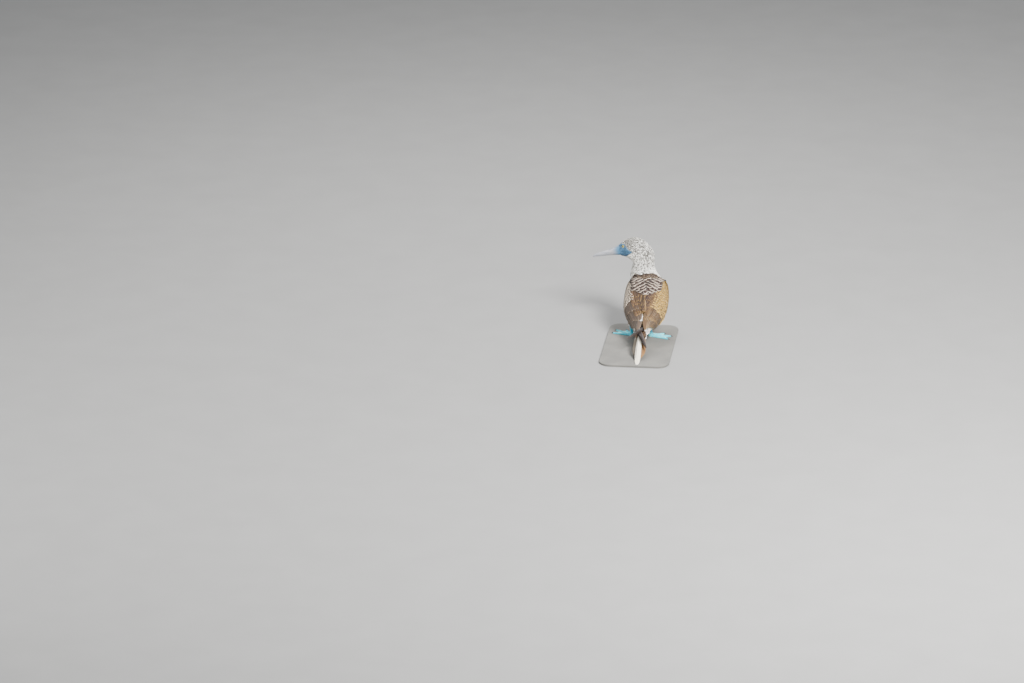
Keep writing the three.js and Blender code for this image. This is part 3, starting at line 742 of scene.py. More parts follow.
def white_coat(material):
    """Rounded, soft feathers of the breast, belly, flanks and rump."""
    a, b = scatter(body, -0.4, 9.6, 6.0, 5.6)
    angle = angle_of(a, b)
    ragged = chance.normal(0, 0.12, len(a))
    keep = ~mantle(a + ragged, angle) & ~wing_cover(body(a, b)) & ~((np.abs(angle) < 24) & (a < 1.6))
    a, b = a[keep], b[keep]
    size = np.interp(a, [0, 6, 8.5, 9.6], [21, 20, 17, 14])
    proud = np.interp(a, [6, 8], [0.7, 0.3])
    coat("white_feathers", a, b, size, size * 0.62, proud, CONTOUR, material, "white_plumage")


def mantle_coat(barred, nape, plain):
    """Brown back feathers with broad pale tips, in rows that dip to a V along the spine. At the foot of
    the neck they are small and mottled. Further back they are plain, under the wings' edges."""
    a, b = scatter(body, 6.6, 8.9, 6.5, 7.0, around=(-1.7, 1.7), slant=0.2, loose=0.3)
    keep = mantle(a + chance.normal(0, 0.06, len(a)), angle_of(a, b))
    coat("nape_feathers", a[keep], b[keep], 19, 11, 1.1, CONTOUR, nape, "wing_feathers", sway=0.16,
         section=BROAD_VANE, thick=0.35)
    a, b = scatter(body, 0.7, 8.6, 14.5, 15.0, around=(-1.5, 1.5), slant=0.78, loose=0.12)
    keep = mantle(a + chance.normal(0, 0.1, len(a)), angle_of(a, b)) & (a > 3.9) & (a < 7.5)
    a, b = a[keep], b[keep]
    size = np.interp(a, [4, 6, 7.5], [40, 38, 30])
    coat("mantle_feathers", a, b, size, size * 0.72, 1.4, BLUNT, barred, "wing_feathers",
         sway=0.05, ragged=0.03, section=BROAD_VANE, thick=0.4)
    a, b = scatter(body, 1.0, 4.6, 9.0, 8.0, around=(-1.3, 1.3), loose=0.25)
    keep = mantle(a, angle_of(a, b)) & (a < 4.2)
    coat("rump_feathers", a[keep], b[keep], 30, 15, 1.0, CONTOUR, plain, "wing_feathers",
         section=BROAD_VANE, thick=0.4)


def thigh_coat(material):
    """Short feathers round the thighs, smallest above the shank."""
    parts = []
    for x in LEG_X.values():
        surface = thigh_surface(x)
        rows = np.arange(0.45, 3.0, 0.14)
        h, t = np.meshgrid(rows, np.linspace(0, 2 * np.pi, 24)[:-1], indexing="ij")
        t = t + (np.arange(len(rows)) % 2)[:, None] * 0.14
        h, t = (v.ravel() + chance.normal(0, 0.04, v.size) for v in (h, t))
        size = np.interp(h, [0.4, 1.2, 3], [6.5, 12, 18])
        centre, across, normal = lay(surface, h, t, size, size * 0.55, CONTOUR, 1.6, 0.4, -1,
                                     chance.normal(0, 0.06, len(h)), outward=-1.0)
        parts.append(vanes(centre, across, normal, 0.35, SMALL_VANE, np.stack([t / 7, h / 3], -1),
                           ragged=0.05))
    whole_piece("thigh_feathers", parts, material, "white_plumage")


# Wings

def reach(surface, a, b, to):
    """Millimetres along a surface from a to another station."""
    steps = np.linspace(0, 1, 13)[:, None]
    path = surface(mix(a, to, steps), np.broadcast_to(b, (13, len(b))))
    return np.linalg.norm(np.diff(path, axis=0), axis=-1).sum(0)


def wing_tier(side, first, last, shares, count, width, depth, proud, profile, dark=None, sink=0.0):
    """One row of wing feathers: roots and tips run between two stations at each end of the row. Roots
    ahead of the wrist are left out."""
    surface = wing_surface(side)
    k = np.linspace(0, 1, count)
    t = mix(shares[0], shares[1], k) + chance.normal(0, 0.008, count)
    a = mix(first[0], first[1], k) + chance.normal(0, 0.02, count)
    to = mix(last[0], last[1], k) + chance.normal(0, 0.04, count)
    kept = a > 0.02
    a, t, to, k = (v[kept] for v in (a, t, to, k))
    length = reach(surface, a, t, to)
    centre, across, normal = lay(surface, a, t, length, width, profile, depth, proud - sink * k, 1,
                                 chance.normal(0, 0.012, len(a)), outward=-side, tilt=0.1 * side)
    dark = None if dark is None else dark[kept]
    return vanes(centre, across, normal, 0.5, BROAD_VANE, np.stack([a / 9, np.clip(t, 0, 1)], -1),
                 camber=0.05, dark=dark, ragged=0.03)


def wing_scales(side, last, scapulars_to):
    """Small covert feathers from the wrist back to a station, larger further back, below the scapulars."""
    surface = wing_surface(side)
    a, t = scatter(surface, -0.1, last, lambda p: np.interp(p, [0, 2, 4], [5.5, 6.5, 10]),
                   lambda p: np.interp(p, [0, 2, 4], [5.5, 6.5, 9]), around=(0.0, 1.0), loose=0.2)
    keep = (t > np.interp(a, [0, 0.8, 2.5, 3.0], [0, 0.08, 0.09, scapulars_to - 0.05])) & (t < 0.95)
    a, t = a[keep], t[keep]
    size = np.interp(a, [0, 1.2, 2.5, 4], [10.5, 13.5, 18, 26]) * chance.uniform(0.9, 1.1, len(a))
    centre, across, normal = lay(surface, a, t, size, size * 0.62, CONTOUR, 1.4, 2.6, 1,
                                 chance.normal(0, 0.05, len(a)), outward=-side, tilt=0.06 * side)
    return vanes(centre, across, normal, 0.35, SMALL_VANE, np.stack([a / 9, t], -1), ragged=0.04)


def wing_rim(side):
    """Small feathers on the wing's lower edge and its front, from its face inward to the flank."""
    outer = wing_surface(side)

    def below(a, t):
        edge = outer(a, np.ones(np.shape(a)))
        inside = np.stack([np.full(np.shape(a), LEAN), edge[..., 1], edge[..., 2] + 20], -1)
        t = np.broadcast_to(t, np.shape(a))[..., None]
        return mix(edge, inside, 0.34 * t) - np.array([0, 0, 1.0]) * t * (1 - t) * 5

    def front(a, t):
        edge = outer(np.full(np.shape(a), 0.05), np.broadcast_to(t, np.shape(a)))
        inside = np.stack([np.full(np.shape(a), LEAN), edge[..., 1] - 1, np.full(np.shape(a), 160.0)], -1)
        return mix(edge, inside, 0.34 * np.asarray(a)[..., None])

    a, t = scatter(below, 0.0, 4.7, 7.0, 6.0, around=(0.0, 1.0), loose=0.2)
    size = np.interp(a, [0, 1.2, 4], [12, 15, 20]) * chance.uniform(0.9, 1.1, len(a))
    centre, across, normal = lay(below, a, t, size, size * 0.62, CONTOUR, 1.0, 0.9, 1,
                                 chance.normal(0, 0.06, len(a)), outward=-side)
    under = vanes(centre, across, normal, 0.35, SMALL_VANE, np.stack([a / 9, 1 - t / 9], -1), ragged=0.04)
    a, t = scatter(front, 0.45, 1.1, 4.0, 4.0, around=(0.0, 1.0), loose=0.2)
    centre, across, normal = lay(front, a, t, 13.0, 9.0, CONTOUR, 0.8, 0.6, -1,
                                 chance.normal(0, 0.1, len(a)), outward=side)
    ahead = vanes(centre, across, normal, 0.35, SMALL_VANE, np.stack([a / 90, t], -1), ragged=0.04)
    return [under, ahead]


def primaries(side, name):
    """The six long blades from under the secondaries to the wing tip, which cross over the tail."""
    count = 6
    k = np.arange(count) * 4 / count
    unmirrored = wing_surface(side)
    home = np.array([LEAN, 0, 0])
    flip = np.array([side, 1, 1])
    root = (unmirrored(np.full(count, 5.6), 0.35 + 0.04 * k) - home) * flip - np.array([2.0, 0, 7.0])
    middle = (unmirrored(np.full(count, 6.9), np.full(count, 0.35)) - home) * flip - np.array([6.0, 0, 7.0])
    end = mix(middle, np.array(WING_TIP[name]), (1 - 0.13 * k)[:, None])
    end[:, 2] += 1.6 * k
    s = FLIGHT[:, 0][None, :, None]
    a = mix(root[:, None], middle[:, None], s)
    b = mix(middle[:, None], end[:, None], s)
    centre = mix(a, b, s)
    along = unit(b - a)
    normal = unit(np.concatenate([0.35 * (1 - s), 0 * s + 0.12, 0 * s + 1], -1)) + 0 * centre
    across = unit(np.cross(along, normal)) * (9.2 * FLIGHT[:, 1])[None, :, None]
    centre, across, normal = centre * flip + home, across * flip, normal * flip
    return vanes(centre, across, normal, 0.9, BROAD_VANE, np.stack([0.55 + 0 * k, 0.62 + 0.05 * k], -1),
                 camber=0.03, ragged=0.02)


def wing_core(side):
    """The wing's closed inside, under its feathers."""
    steps, points = 40, 24
    surface = wing_surface(side)
    a, t = np.meshgrid(np.linspace(0.05, CORE_TO, steps), np.linspace(0, 1, points), indexing="ij")
    outer = surface(a, t)
    da, dt = slopes(surface, a, t)
    outer = outer + unit(np.cross(da, dt)) * side * 1.4
    axis = np.stack([np.full(steps, LEAN), outer[:, 0, 1], mix(outer[:, 0, 2], outer[:, -1, 2], 0.55)], -1)
    inner = mix(outer[:, -2:0:-1], axis[:, None], 0.3)
    points, faces = loft(np.concatenate([outer, inner], 1))
    count = len(points)
    fields = {"along": np.full(count, 0.4), "across": np.full(count, 0.5),
              "barb": points[:, 1], "edge": np.full(count, 9.0), "tone": np.full(count, 0.5),
              "dark": np.ones(count)}
    return {"points": points, "faces": faces, "fields": fields, "uv": np.full((count, 2), 0.5)}


def wing_pieces(name, coverts_to, scapulars_to, bars_to, coverts, flight, scapulars, blade, barred):
    """A folded wing from the wrist back: scale-like coverts, one long row of them, two rows of flight
    feathers over the blades of the hand, and scapulars over its upper edge."""
    side, c, slot = SIDES[name], coverts_to, "wing_feathers"
    whole_piece(f"wing_coverts_{name}", [wing_scales(side, c, scapulars_to), *wing_rim(side)], coverts, slot)
    whole_piece(f"secondaries_{name}", [
        wing_core(side),
        wing_tier(side, (c, c - 0.2), (c + 1.6, c + 1.0), (0.06, 0.95), 16, 15, 1.0, 2.1, FLIGHT),
        wing_tier(side, (3.7, 3.3), (6.6, 5.3), (0.04, 0.93), 15, 17, 1.2, 1.5, FLIGHT, sink=0.4),
        wing_tier(side, (4.1, 3.6), (8.1, 6.3), (0.06, 0.93), 15, 20, 1.4, 1.0, FLIGHT, sink=0.6),
    ], flight, slot, f"wing_{name}")
    whole_piece(f"primaries_{name}", [primaries(side, name)], blade, slot)
    whole_piece(f"scapulars_{name}", [
        wing_tier(side, (a, a - 0.85), (a + 0.9, a + 0.05), (-0.12, bars_to), 4, 26, -0.6, 3.8, BLUNT)
        for a in np.arange(0.3, 3.6, 0.33)], barred, slot)
    whole_piece(f"long_scapulars_{name}", [
        wing_tier(side, (a, a - 0.4), (min(a + 1.7, 5.7), min(a + 1.3, 6.2)), (-0.09, scapulars_to), 6, 15,
                  0.8, 2.4, FLIGHT, sink=0.6, dark=np.array([1.0, 1.0, 0.7, 0.3, 0.0, 0.1]))
        for a in np.arange(2.7, 4.7, 0.36)], scapulars, slot)


# Tail

def white_tuft(material):
    """Three white feathers that show between the wings, over the left one's inner edge."""
    surface = wing_surface(1.0)
    a, t = np.array([5.95, 6.1, 6.15]), np.array([-0.03, 0.02, 0.06])
    centre, across, normal = lay(surface, a, t, np.array([19.0, 22.0, 18.0]), 7.5, CONTOUR, 0.5, 3.0, 1,
                                 np.array([-0.25, -0.4, -0.3]), outward=-1.0)
    part = vanes(centre, across, normal, 0.35, BROAD_VANE, np.stack([a / 9, t + 0.1], -1))
    whole_piece("white_tuft", [part], material, "white_plumage")


def tail_line(y):
    """The height of the tail's underside at Y: it slopes down and eases onto the floor level."""
    fall = TAIL_ROOT[1] - (y - TAIL_ROOT[0]) * 0.335
    return np.maximum(0, 4 * np.log1p(np.exp(np.clip(fall / 4, -30, 30))) - 1.3)


def tail_feather(pair, side):
    """One of the twelve tail feathers, counted from the long middle pair outward."""
    length = TAIL_LENGTHS[pair]
    layers = len(TAIL_LENGTHS) - pair + (0 if side > 0 else 0.5)
    s = np.linspace(0, 1, 18)
    shape = np.interp(s, [0, 0.3, 0.55, 0.78, 0.92, 0.97, 1], [0.5, 0.8, 1, 1, 0.74, 0.45, 0.2])
    y = TAIL_ROOT[0] - 6 + s * length
    x = side * (2.2 + pair * 3.3) * mix(0.5, 1, s) - 5 * s * s
    lift = (layers - 1) * 1.35 * np.minimum(1, (TAIL_LENGTHS[0] + TAIL_ROOT[0] - y - 10) / 90)
    z = tail_line(y) + np.maximum(lift, 0 if side > 0 else GAP) + 0.55
    centre = np.stack([x, y, z], -1)[None]
    across = np.stack([9.5 * shape, 0 * s, 0 * s], -1)[None]
    normal = np.tile([0.0, 0.0, 1.0], (1, len(s), 1))
    return vanes(centre, across, normal, 0.7, BROAD_VANE, np.array([[0.1 + 0.13 * pair, 0.5 + 0.2 * side]]),
                 camber=0.02, ragged=0.02)


def tail_rise(a, b):
    """The rounded back of the tail's root: a is millimetres along Y, b the angle round it."""
    y = np.asarray(a, float)
    share = np.clip((y - 108) / 84, 0, 1)
    high = mix(10.5, 5.0, share)
    wide = mix(23.5, 20.5, share)
    return np.stack([wide * np.sin(b) - 1 - 3 * share**2, y + 0 * b,
                     tail_line(y) + 4 + high * np.cos(b)], -1)


def tail_pieces(white, grey, tawny, cover, rump):
    """The tail: white in the middle, grey on its left and tawny on its right, with coverts at its root."""
    groups = {"tail_middle": ([(0, 1), (0, -1)], white), "tail_left": ([(p, 1) for p in range(1, 6)], grey),
              "tail_right": ([(p, -1) for p in range(1, 6)], tawny)}
    for name, (which, material) in groups.items():
        nodes = ["tail"] if name == "tail_middle" else []
        whole_piece(name, [tail_feather(*w) for w in which], material, "tail_feathers", *nodes)
    a, b = scatter(tail_rise, 96, 166, 5.5, 5.0)
    above = np.abs(b) < 1.15
    lower_to = np.interp(np.abs(b), [1.2, 1.9, 2.3, 2.6], [110, 124, 135, 166])
    for name, some, material, slot in (
            ("upper_tail_coverts", above & (a < 132), rump, "wing_feathers"),
            ("lower_tail_coverts", ~above & (a < lower_to), cover, "white_plumage")):
        size = np.interp(a[some], [96, 166], [22, 28]) * chance.uniform(0.9, 1.1, some.sum())
        centre, across, normal = lay(tail_rise, a[some], b[some], size, size * 0.45, CONTOUR, 2.0, 0.4, 1,
                                     chance.normal(0, 0.05, len(size)), outward=-1.0)
        centre[..., 2] = np.maximum(centre[..., 2], 1.0)
        patch = np.stack([b[some] / 7 + 0.5, (a[some] - 90) / 100], -1)
        part = vanes(centre, across, normal, 0.35, SMALL_VANE, patch, ragged=0.05)
        whole_piece(name, [part], material, slot)


# Bill, eyes, legs and feet

BILL = np.array([              # from the eye line: distance, upper edge, mouth, lower edge, half width
    (14.3, 10.3, -10.4, -29.6, 16.4), (24, 7.6, -10.6, -27.2, 14.6), (38, 4.6, -10.4, -24.2, 12.4),
    (60, 1.2, -10, -19.8, 9.4), (84, 0, -9.6, -16.6, 6.9), (104, -2, -9.8, -14.2, 4.9),
    (116, -5.2, -10.4, -12.9, 3), (121, -8.8, -11.4, -12.2, 1.2)])


def horn(name, upper, material):
    """One half of the bill: a ridge along its middle, a groove down each side and a finely toothed edge."""
    side = 1 if upper else -1
    place = np.linspace(0, len(BILL) - 1, 150)
    row = curve(BILL, place)
    f, mouth, half = row[:, 0], row[:, 2] + side * GAP / 2, row[:, 4]
    tall = (row[:, 1] if upper else row[:, 3]) - mouth
    angle = np.linspace(0, np.pi, 61)[None]
    wide = np.sign(np.cos(angle)) * np.abs(np.cos(angle)) ** 0.85
    high = np.sin(angle) ** 0.9
    groove = np.exp(-((np.abs(np.cos(angle)) - 0.62) / 0.07) ** 2) + 0 * f[:, None]
    groove *= (smooth(0.2, 1.2, place) * smooth(6.6, 5.0, place))[:, None] * (0.055 if upper else 0.03)
    teeth = 0.3 * np.abs(np.sin(f * math.pi / 1.7)) * smooth(30, 50, f) * smooth(119, 112, f)
    lip = np.exp(-(high / 0.1) ** 2)
    inset = np.where(place < 0.12, 0.35, 0.0)[:, None]
    left = wide * (half[:, None] - inset) * (1 - groove)
    up = mouth[:, None] + high * (tall[:, None] - side * inset) * (1 - 0.5 * groove)
    up = up + side * teeth[:, None] * lip
    rings = on_head(f[:, None] + 0 * left, left, up)
    back = on_head(f[:1, None] - 4.0, left[:1] * 0.96, mix(mouth[0], up[:1], 0.96))
    points, faces = loft(np.concatenate([back, rings]))
    ridge = smooth(0.75, 1.0, high) * (0.6 if upper else 0.0)
    fleshy = smooth(46, 16, np.append(10, f))[:, None] * (1 - ridge)
    fields = {"fleshy": np.append(fleshy.ravel(), [1, 0])}
    uv = np.stack([np.append(np.repeat(np.append(10, f) / 130, 61), [0.07, 0.95]),
                   np.append(np.tile(angle[0] / np.pi, 151), [0.5, 0.5])], -1)
    finished(mesh_piece(f"{name}_horn", points, faces, fields, uv), material, "bill_horn", name)


def eyeball(name, material):
    """A glassy ball turned about the eye's axis, with its cornea a little domed."""
    side = SIDES[name]
    swing = np.linspace(0.02, math.pi - 0.02, 60)[:, None]
    angle = np.linspace(0, 2 * np.pi, 73)[None, :-1]
    off = EYE_RADIUS * np.sin(swing) + 0 * angle
    out = EYE_RADIUS * np.cos(swing) + 0.35 * smooth(4.6, 0.0, off) * (swing < 1) + 0 * angle
    points, faces = loft(round_eye(side, angle + 0 * off, off, out))
    seen = np.where(out > 0, off, EYE_RADIUS)
    fields = {"from_pupil": np.append(seen.ravel(), [0, EYE_RADIUS]),
              "round": np.append(np.broadcast_to(angle, off.shape).ravel(), [0, 0])}
    finished(mesh_piece(f"glass_eye_{name}", points, faces, fields), material, "eye", f"eye_{name}")


def eye_material():
    """Glass eye, painted behind: a black pupil, a pale yellow iris with fine rays and a dark rim."""
    material, tree, shader = new_material("Glass eye, painted behind", Roughness=0.06, Coat_Weight=1.0,
                                          Coat_Roughness=0.02)
    off = add(tree, "Attribute", out="Fac", attribute_name="from_pupil")
    turn = add(tree, "Attribute", out="Fac", attribute_name="round")
    turn = add(tree, "Math", (turn, 9.0), operation="MULTIPLY")
    spot = add(tree, "CombineXYZ", (turn, off))
    rays = add(tree, "TexNoise", {"Vector": spot, "Scale": 2.0, "Detail": 4.0})
    iris = add(tree, "Mix", {0: rays, 6: colour("#8d8134"), 7: colour("#d6ca78")}, 2, data_type="RGBA")
    outside = add(tree, "MapRange", (off, 4.0, 5.1), interpolation_type="SMOOTHSTEP")
    iris = add(tree, "Mix", {0: outside, 6: iris, 7: colour("#2b2a1c")}, 2, data_type="RGBA")
    middle = add(tree, "MapRange", (off, 3.0, 2.6), interpolation_type="SMOOTHSTEP")
    iris = add(tree, "Mix", {0: middle, 6: iris, 7: colour("#050505")}, 2, data_type="RGBA")
    tree.links.new(iris, shader.inputs["Base Color"])
    return material


def rod(stations, steps=80, scutes=0.0):
    """A leg bone's skin through round sections (x, y, z, wide, deep), ringed by low scutes."""
    row = curve(stations, np.linspace(0, len(stations) - 1, steps))
    angle = np.linspace(0, 2 * np.pi, 49)[None, :-1]
    ring = scutes * np.abs(np.sin(row[:, 2] * math.pi / 3.4)) ** 0.5
    grow = ring[:, None] * (0.5 - 0.5 * np.sin(angle))
    x = row[:, 0:1] + (row[:, 3:4] + grow) * np.cos(angle)
    y = row[:, 1:2] + (row[:, 4:5] + grow) * np.sin(angle)
    return loft(np.stack([x, y, row[:, 2:3] + 0 * x], -1))


def foot_place(name, length, turn, lateral, up):
    """A place on a foot: so far out from the ankle at a toe's angle, to that toe's side, and up."""
    angle = np.radians(FOOT_TURN[name] + turn)
    x = length * np.sin(angle) + lateral * np.cos(angle)
    y = -length * np.cos(angle) + lateral * np.sin(angle)
    return np.stack(np.broadcast_arrays(LEG_X[name] + SIDES[name] * x, y, up), -1).astype(float)


def toe(name, length, turn, radius):
    """A toe: padded below, three or four knuckles above, and a scute every two millimetres."""
    t = np.linspace(-0.02, 1, int(length * 2.6))
    knuckle = np.interp(t * 5, [-0.1, 0, 1, 2, 3, 4, 5], [1.08, 1.08, 0.94, 1.08, 0.94, 1.08, 0.9])
    r = radius * mix(1.1, 0.62, t) * knuckle
    angle = np.linspace(0, np.pi, 30)[None]
    scute = 0.32 * np.abs(np.sin(t * length * math.pi / 2.3)) ** 0.6
    grow = scute[:, None] * np.sin(angle) ** 0.5
    lateral = r[:, None] * np.cos(angle)
    up = (1.6 * r[:, None] - 0.32 + grow) * np.sin(angle)
    return loft(foot_place(name, t[:, None] * length, turn, lateral, np.maximum(up, 0)))


def web(name):
    """The web between the toes: a thin sheet with folds that run with the toes."""
    reach, turns = [], []
    for (a, turn_a, _), (b, turn_b, _) in zip(TOES[:-1], TOES[1:]):
        t = np.linspace(0, 1, 40, endpoint=False)
        reach.append(mix(a, b, t) * 0.97 * (1 - 0.16 * np.sin(t * np.pi)))
        turns.append(mix(turn_a, turn_b, t))
    reach = np.append(np.concatenate(reach), TOES[-1][0] * 0.97)
    turns = np.append(np.concatenate(turns), TOES[-1][1])
    out = np.linspace(0.02, 1, 60)[:, None]
    fold = 0.22 * np.sin(turns * 1.3) + 0.14 * np.sin(turns * 0.7 + out * 5) + 0.12 * np.sin(out * 60)
    top = foot_place(name, out * reach, turns + 0 * out, 0.0, 1.9 + fold)
    under = foot_place(name, out * reach, turns + 0 * out, 0.0, 0.35 + 0 * fold)
    return loft(np.concatenate([top, under[:, ::-1]], 1))


def leg_piece(name, material):
    """Tarsus, toes and web under one scaly skin."""
    x = LEG_X[name]
    bones = [rod([(x, -1, 8, 6.6, 8.2), (x, 1, 21, 5.6, 7.6), (x, 5, 33, 5.6, 7.8), (x, 8, 42, 7, 9),
                  (x, ANKLE[0], ANKLE[1] + 3, 7.4, 9.6)], scutes=0.45),
             rod([(x, -1, 0.1, 8, 9), (x, -1, 6, 9, 10), (x, -1, 13, 6.8, 8.4)], steps=30),
             web(name), *[toe(name, *t) for t in TOES]]
    points, faces, _, _ = joined([{"points": p, "faces": f} for p, f in bones])
    rough = mesh_piece(f"leg_{name}_rough", points, faces)
    solid = rough.modifiers.new("Fused", "REMESH")
    solid.mode = "VOXEL"
    solid.voxel_size = 0.62 * MM
    soft = rough.modifiers.new("Soft", "SMOOTH")
    soft.factor = 0.5
    soft.iterations = 2
    graph = bpy.context.evaluated_depsgraph_get()
    mesh = bpy.data.meshes.new_from_object(rough.evaluated_get(graph))
    bpy.data.objects.remove(rough)
    mesh.name = f"leg_{name}"
    spots = np.empty(len(mesh.vertices) * 3, np.float32)
    mesh.vertices.foreach_get("co", spots)
    spots = spots.reshape(-1, 3) / MM - SHIFT
    spots[:, 2] = np.maximum(spots[:, 2], 0.05)
    mesh.vertices.foreach_set("co", ((spots + SHIFT) * MM).astype(np.float32).ravel())
    away = np.full(len(spots), 99.0)
    for length, turn, radius in TOES:
        line = foot_place(name, np.array([0.0, length]), turn, 0.0, 0.0)[:, :2]
        ahead = unit(line[1] - line[0])
        rel = spots[:, :2] - line[0]
        along = np.clip(rel @ ahead, 0, length)
        away = np.minimum(away, np.linalg.norm(rel - along[:, None] * ahead, axis=-1) - radius)
    # The web's mask paints it near white: its own paler blue, with painted sunlight on it.
    shades = {"webbed": smooth(-0.5, 3.0, away) * smooth(5, 3, spots[:, 2]),
              "shank": smooth(8, 22, spots[:, 2])}
    for field, values in shades.items():
        attribute = mesh.attributes.new(field, "FLOAT", "POINT")
        attribute.data.foreach_set("value", np.asarray(values, np.float32))
    mesh.polygons.foreach_set("use_smooth", np.ones(len(mesh.polygons), bool))
    thing = bpy.data.objects.new(f"leg_{name}", mesh)
    bpy.context.scene.collection.objects.link(thing)
    finished(thing, material, "blue_skin", f"tarsus_{name}", f"foot_{name}")


def foot_material():
    """Webbed foot's skin: bright blue, deeper on the scaly toes and shank, and a little moist. The web is
    near white: its own paler blue, with painted sunlight on it.
    """
    return worn_surface("Webbed foot skin, scaly, slightly moist", "#2fb9cd", "#62d6da", 1.5, 0.25,
                        patch_mm=14.0, fields=(("webbed", "#b2efe9"), ("shank", "#2faecb")),
                        Roughness=0.38, Subsurface_Weight=0.12, Subsurface_Scale=0.002,
                        Specular_IOR_Level=0.45)


def claw(name, number, material):
    """A hooked nail, blunt at its tip and ridged along its top."""
    length, turn, radius = TOES[number]
    t = np.linspace(0, 1, 26)
    r = CLAW_RADIUS * (1 - 0.84 * t**1.4) * radius / 5
    rise = r + 0.3 + 1.6 * (1 - t) ** 2
    angle = np.linspace(0, 2 * np.pi, 25)[None, :-1]
    ridge = 1 + 0.16 * np.exp(-((angle - np.pi / 2) / 0.35) ** 2)
    lateral = r[:, None] * 0.8 * np.cos(angle)
    up = rise[:, None] + r[:, None] * np.sin(angle) * ridge
    points, faces = loft(foot_place(name, (length - 1.0 + t * (CLAW_LENGTH + 1))[:, None], turn, lateral, up))
    finished(mesh_piece(f"nail_{name}_{number + 1}", points, faces), material, "claw_horn",
             f"claw_{name}_{number + 1}")


def display_board(material):
    """The thin board under the bird, with rounded corners and its edges rubbed round."""
    low, high = (np.array(corner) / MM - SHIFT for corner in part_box("stand_board"))
    turn = np.linspace(0, np.pi / 2, 33)

    def outline(inset, z):
        radius = BOARD_CORNER - inset
        left, right = high[0] - BOARD_CORNER, low[0] + BOARD_CORNER
        front, rear = low[1] + BOARD_CORNER, high[1] - BOARD_CORNER
        middles = ((left, front), (left, rear), (right, rear), (right, front))
        return np.concatenate([np.stack([x + radius * np.cos(turn + quarter * np.pi / 2),
                                         y + radius * np.sin(turn + quarter * np.pi / 2), z + 0 * turn], -1)
                               for quarter, (x, y) in enumerate(middles, -1)])

    bend = np.linspace(0, np.pi / 2, 7)
    narrow, shallow = BOARD_EDGE * (1 - np.sin(bend)), BOARD_EDGE * (1 - np.cos(bend))
    levels = [(2 * BOARD_EDGE, low[2]), *zip(narrow, low[2] + shallow),
              *zip(shallow, high[2] - narrow), (2 * BOARD_EDGE, high[2])]
    points, faces = loft([outline(*level) for level in levels])
    finished(mesh_piece("display_board", points, faces), material, "stand_paint", "stand_board")


# The whole bird

skin_piece()

# Each kind of feather has its own vane, worn edge and shaft colours. Down and loose barbs keep the white
# ones matt, so they glow softly. Sun and salt bleach the coverts pale, which the eye reads as dry and dusty.
# The left wing's coverts and secondaries are painted grey as shade, and the right wing's gold and tawny as
# sunlight.
white = plumage("White body feather, soft", "#f5f2ea", "#fbfaf6", "#e2decf", 0.6, variety=0.05,
                barbs_mm=1.1)
streaked = plumage("Head feather, white with a dark streak", "#2b2419", "#f4f1e8", "#2b2419", 0.3,
                   pale="#f5f2ea", variety=0.06, soft=0.85)
barred = plumage("Mantle feather, dark brown with a worn pale tip", "#2a1911", "#f0dcc6", "#1e120c", 1.9,
                 tip_only=True, variety=0.2)
nape = plumage("Lower nape feather, brown, finely tipped", "#38281d", "#86755f", "#261a12", 1.1,
               tip_only=True, variety=0.3)
rump_brown = plumage("Rump feather, dark brown with a golden edge", "#38271e", "#6b5237", "#241812", 1.6)
grey_scapular = plumage("Long scapular, brown with a golden edge", "#332217", "#94733f", "#2a1d14", 1.5,
                        pale="#523a27", variety=0.24)
tawny_scapular = plumage("Long scapular, tawny brown with a golden edge", "#2c1a16", "#8c6b3c", "#2e2116",
                         1.2, pale="#553c21", variety=0.24)
# Painted light: the same pale covert, grey with painted shade for the left wing and gold with painted
# sunlight for the right.
coverts_grey_painted_shade = plumage("Wing covert, bleached pale, grey with painted shade", "#978979", "#b9ab9a", "#6e6152", 1.2)
# Painted light: the same secondary, greyed as shade for the left wing and warmed to tawny as sunlight for the
# right.
flight_grey_painted_shade = plumage("Secondary, dusty brown with a pale fringe", "#493a2e", "#7d6b57", "#2c2119", 1.7,
                      variety=0.24)
coverts_gold_painted_sun = plumage("Wing covert, bleached pale, gold with painted sunlight", "#a38039", "#cba968", "#6e5128", 1.2, variety=0.2)
flight_tawny_painted_sun = plumage("Secondary, tawny with a pale fringe", "#4c361f", "#94774c", "#2f200d", 1.8,
                       variety=0.24)
# The dark pigment stiffens a primary and keeps it glossy, so its edge catches the light.
dark_blade = plumage("Primary, blackish and glossy", "#231915", "#3d2f27", "#140e0c", 0.8, roughness=0.5)
grey_tail = plumage("Tail feather, grey-brown, darker outside", "#9c8f78", "#6e6150", "#4c4033", 1.6)
tawny_tail = plumage("Tail feather, orange-brown", "#704619", "#916b37", "#38260f", 1.8)
ivory_tail = plumage("Tail feather, white, faintly yellow", "#efe6cf", "#f7f3e8", "#c9bda0", 1.5,
                     variety=0.05)

white_coat(white)
thigh_coat(white)
head_coat(streaked)
mantle_coat(barred, nape, rump_brown)
# The left wing wears the feathers with painted shade, and the right wing those with painted sunlight.
wing_pieces("left", 3.7, 0.2, 0.08, coverts_grey_painted_shade, flight_grey_painted_shade, grey_scapular, dark_blade, barred)
wing_pieces("right", 4.6, 0.12, 0.08, coverts_gold_painted_sun, flight_tawny_painted_sun, tawny_scapular, dark_blade, barred)
white_tuft(white)
tail_pieces(ivory_tail, grey_tail, tawny_tail, white, rump_brown)

# Horn grows in long fibres that wear to fine lengthwise scratches, so the bill has a drawn-out, dull shine.
bill = worn_surface("Bill horn, matt, finely scratched", "#7d8188", "#a3a2a5", 0.8, 0.06, patch_mm=5.0,
                    stretch=(0.12, 1, 1), fields=(("fleshy", "#42708f"),), Roughness=0.42,
                    Specular_IOR_Level=0.4)
horn("bill_upper", True, bill)
horn("bill_lower", False, bill)

glass = eye_material()
webbed = foot_material()
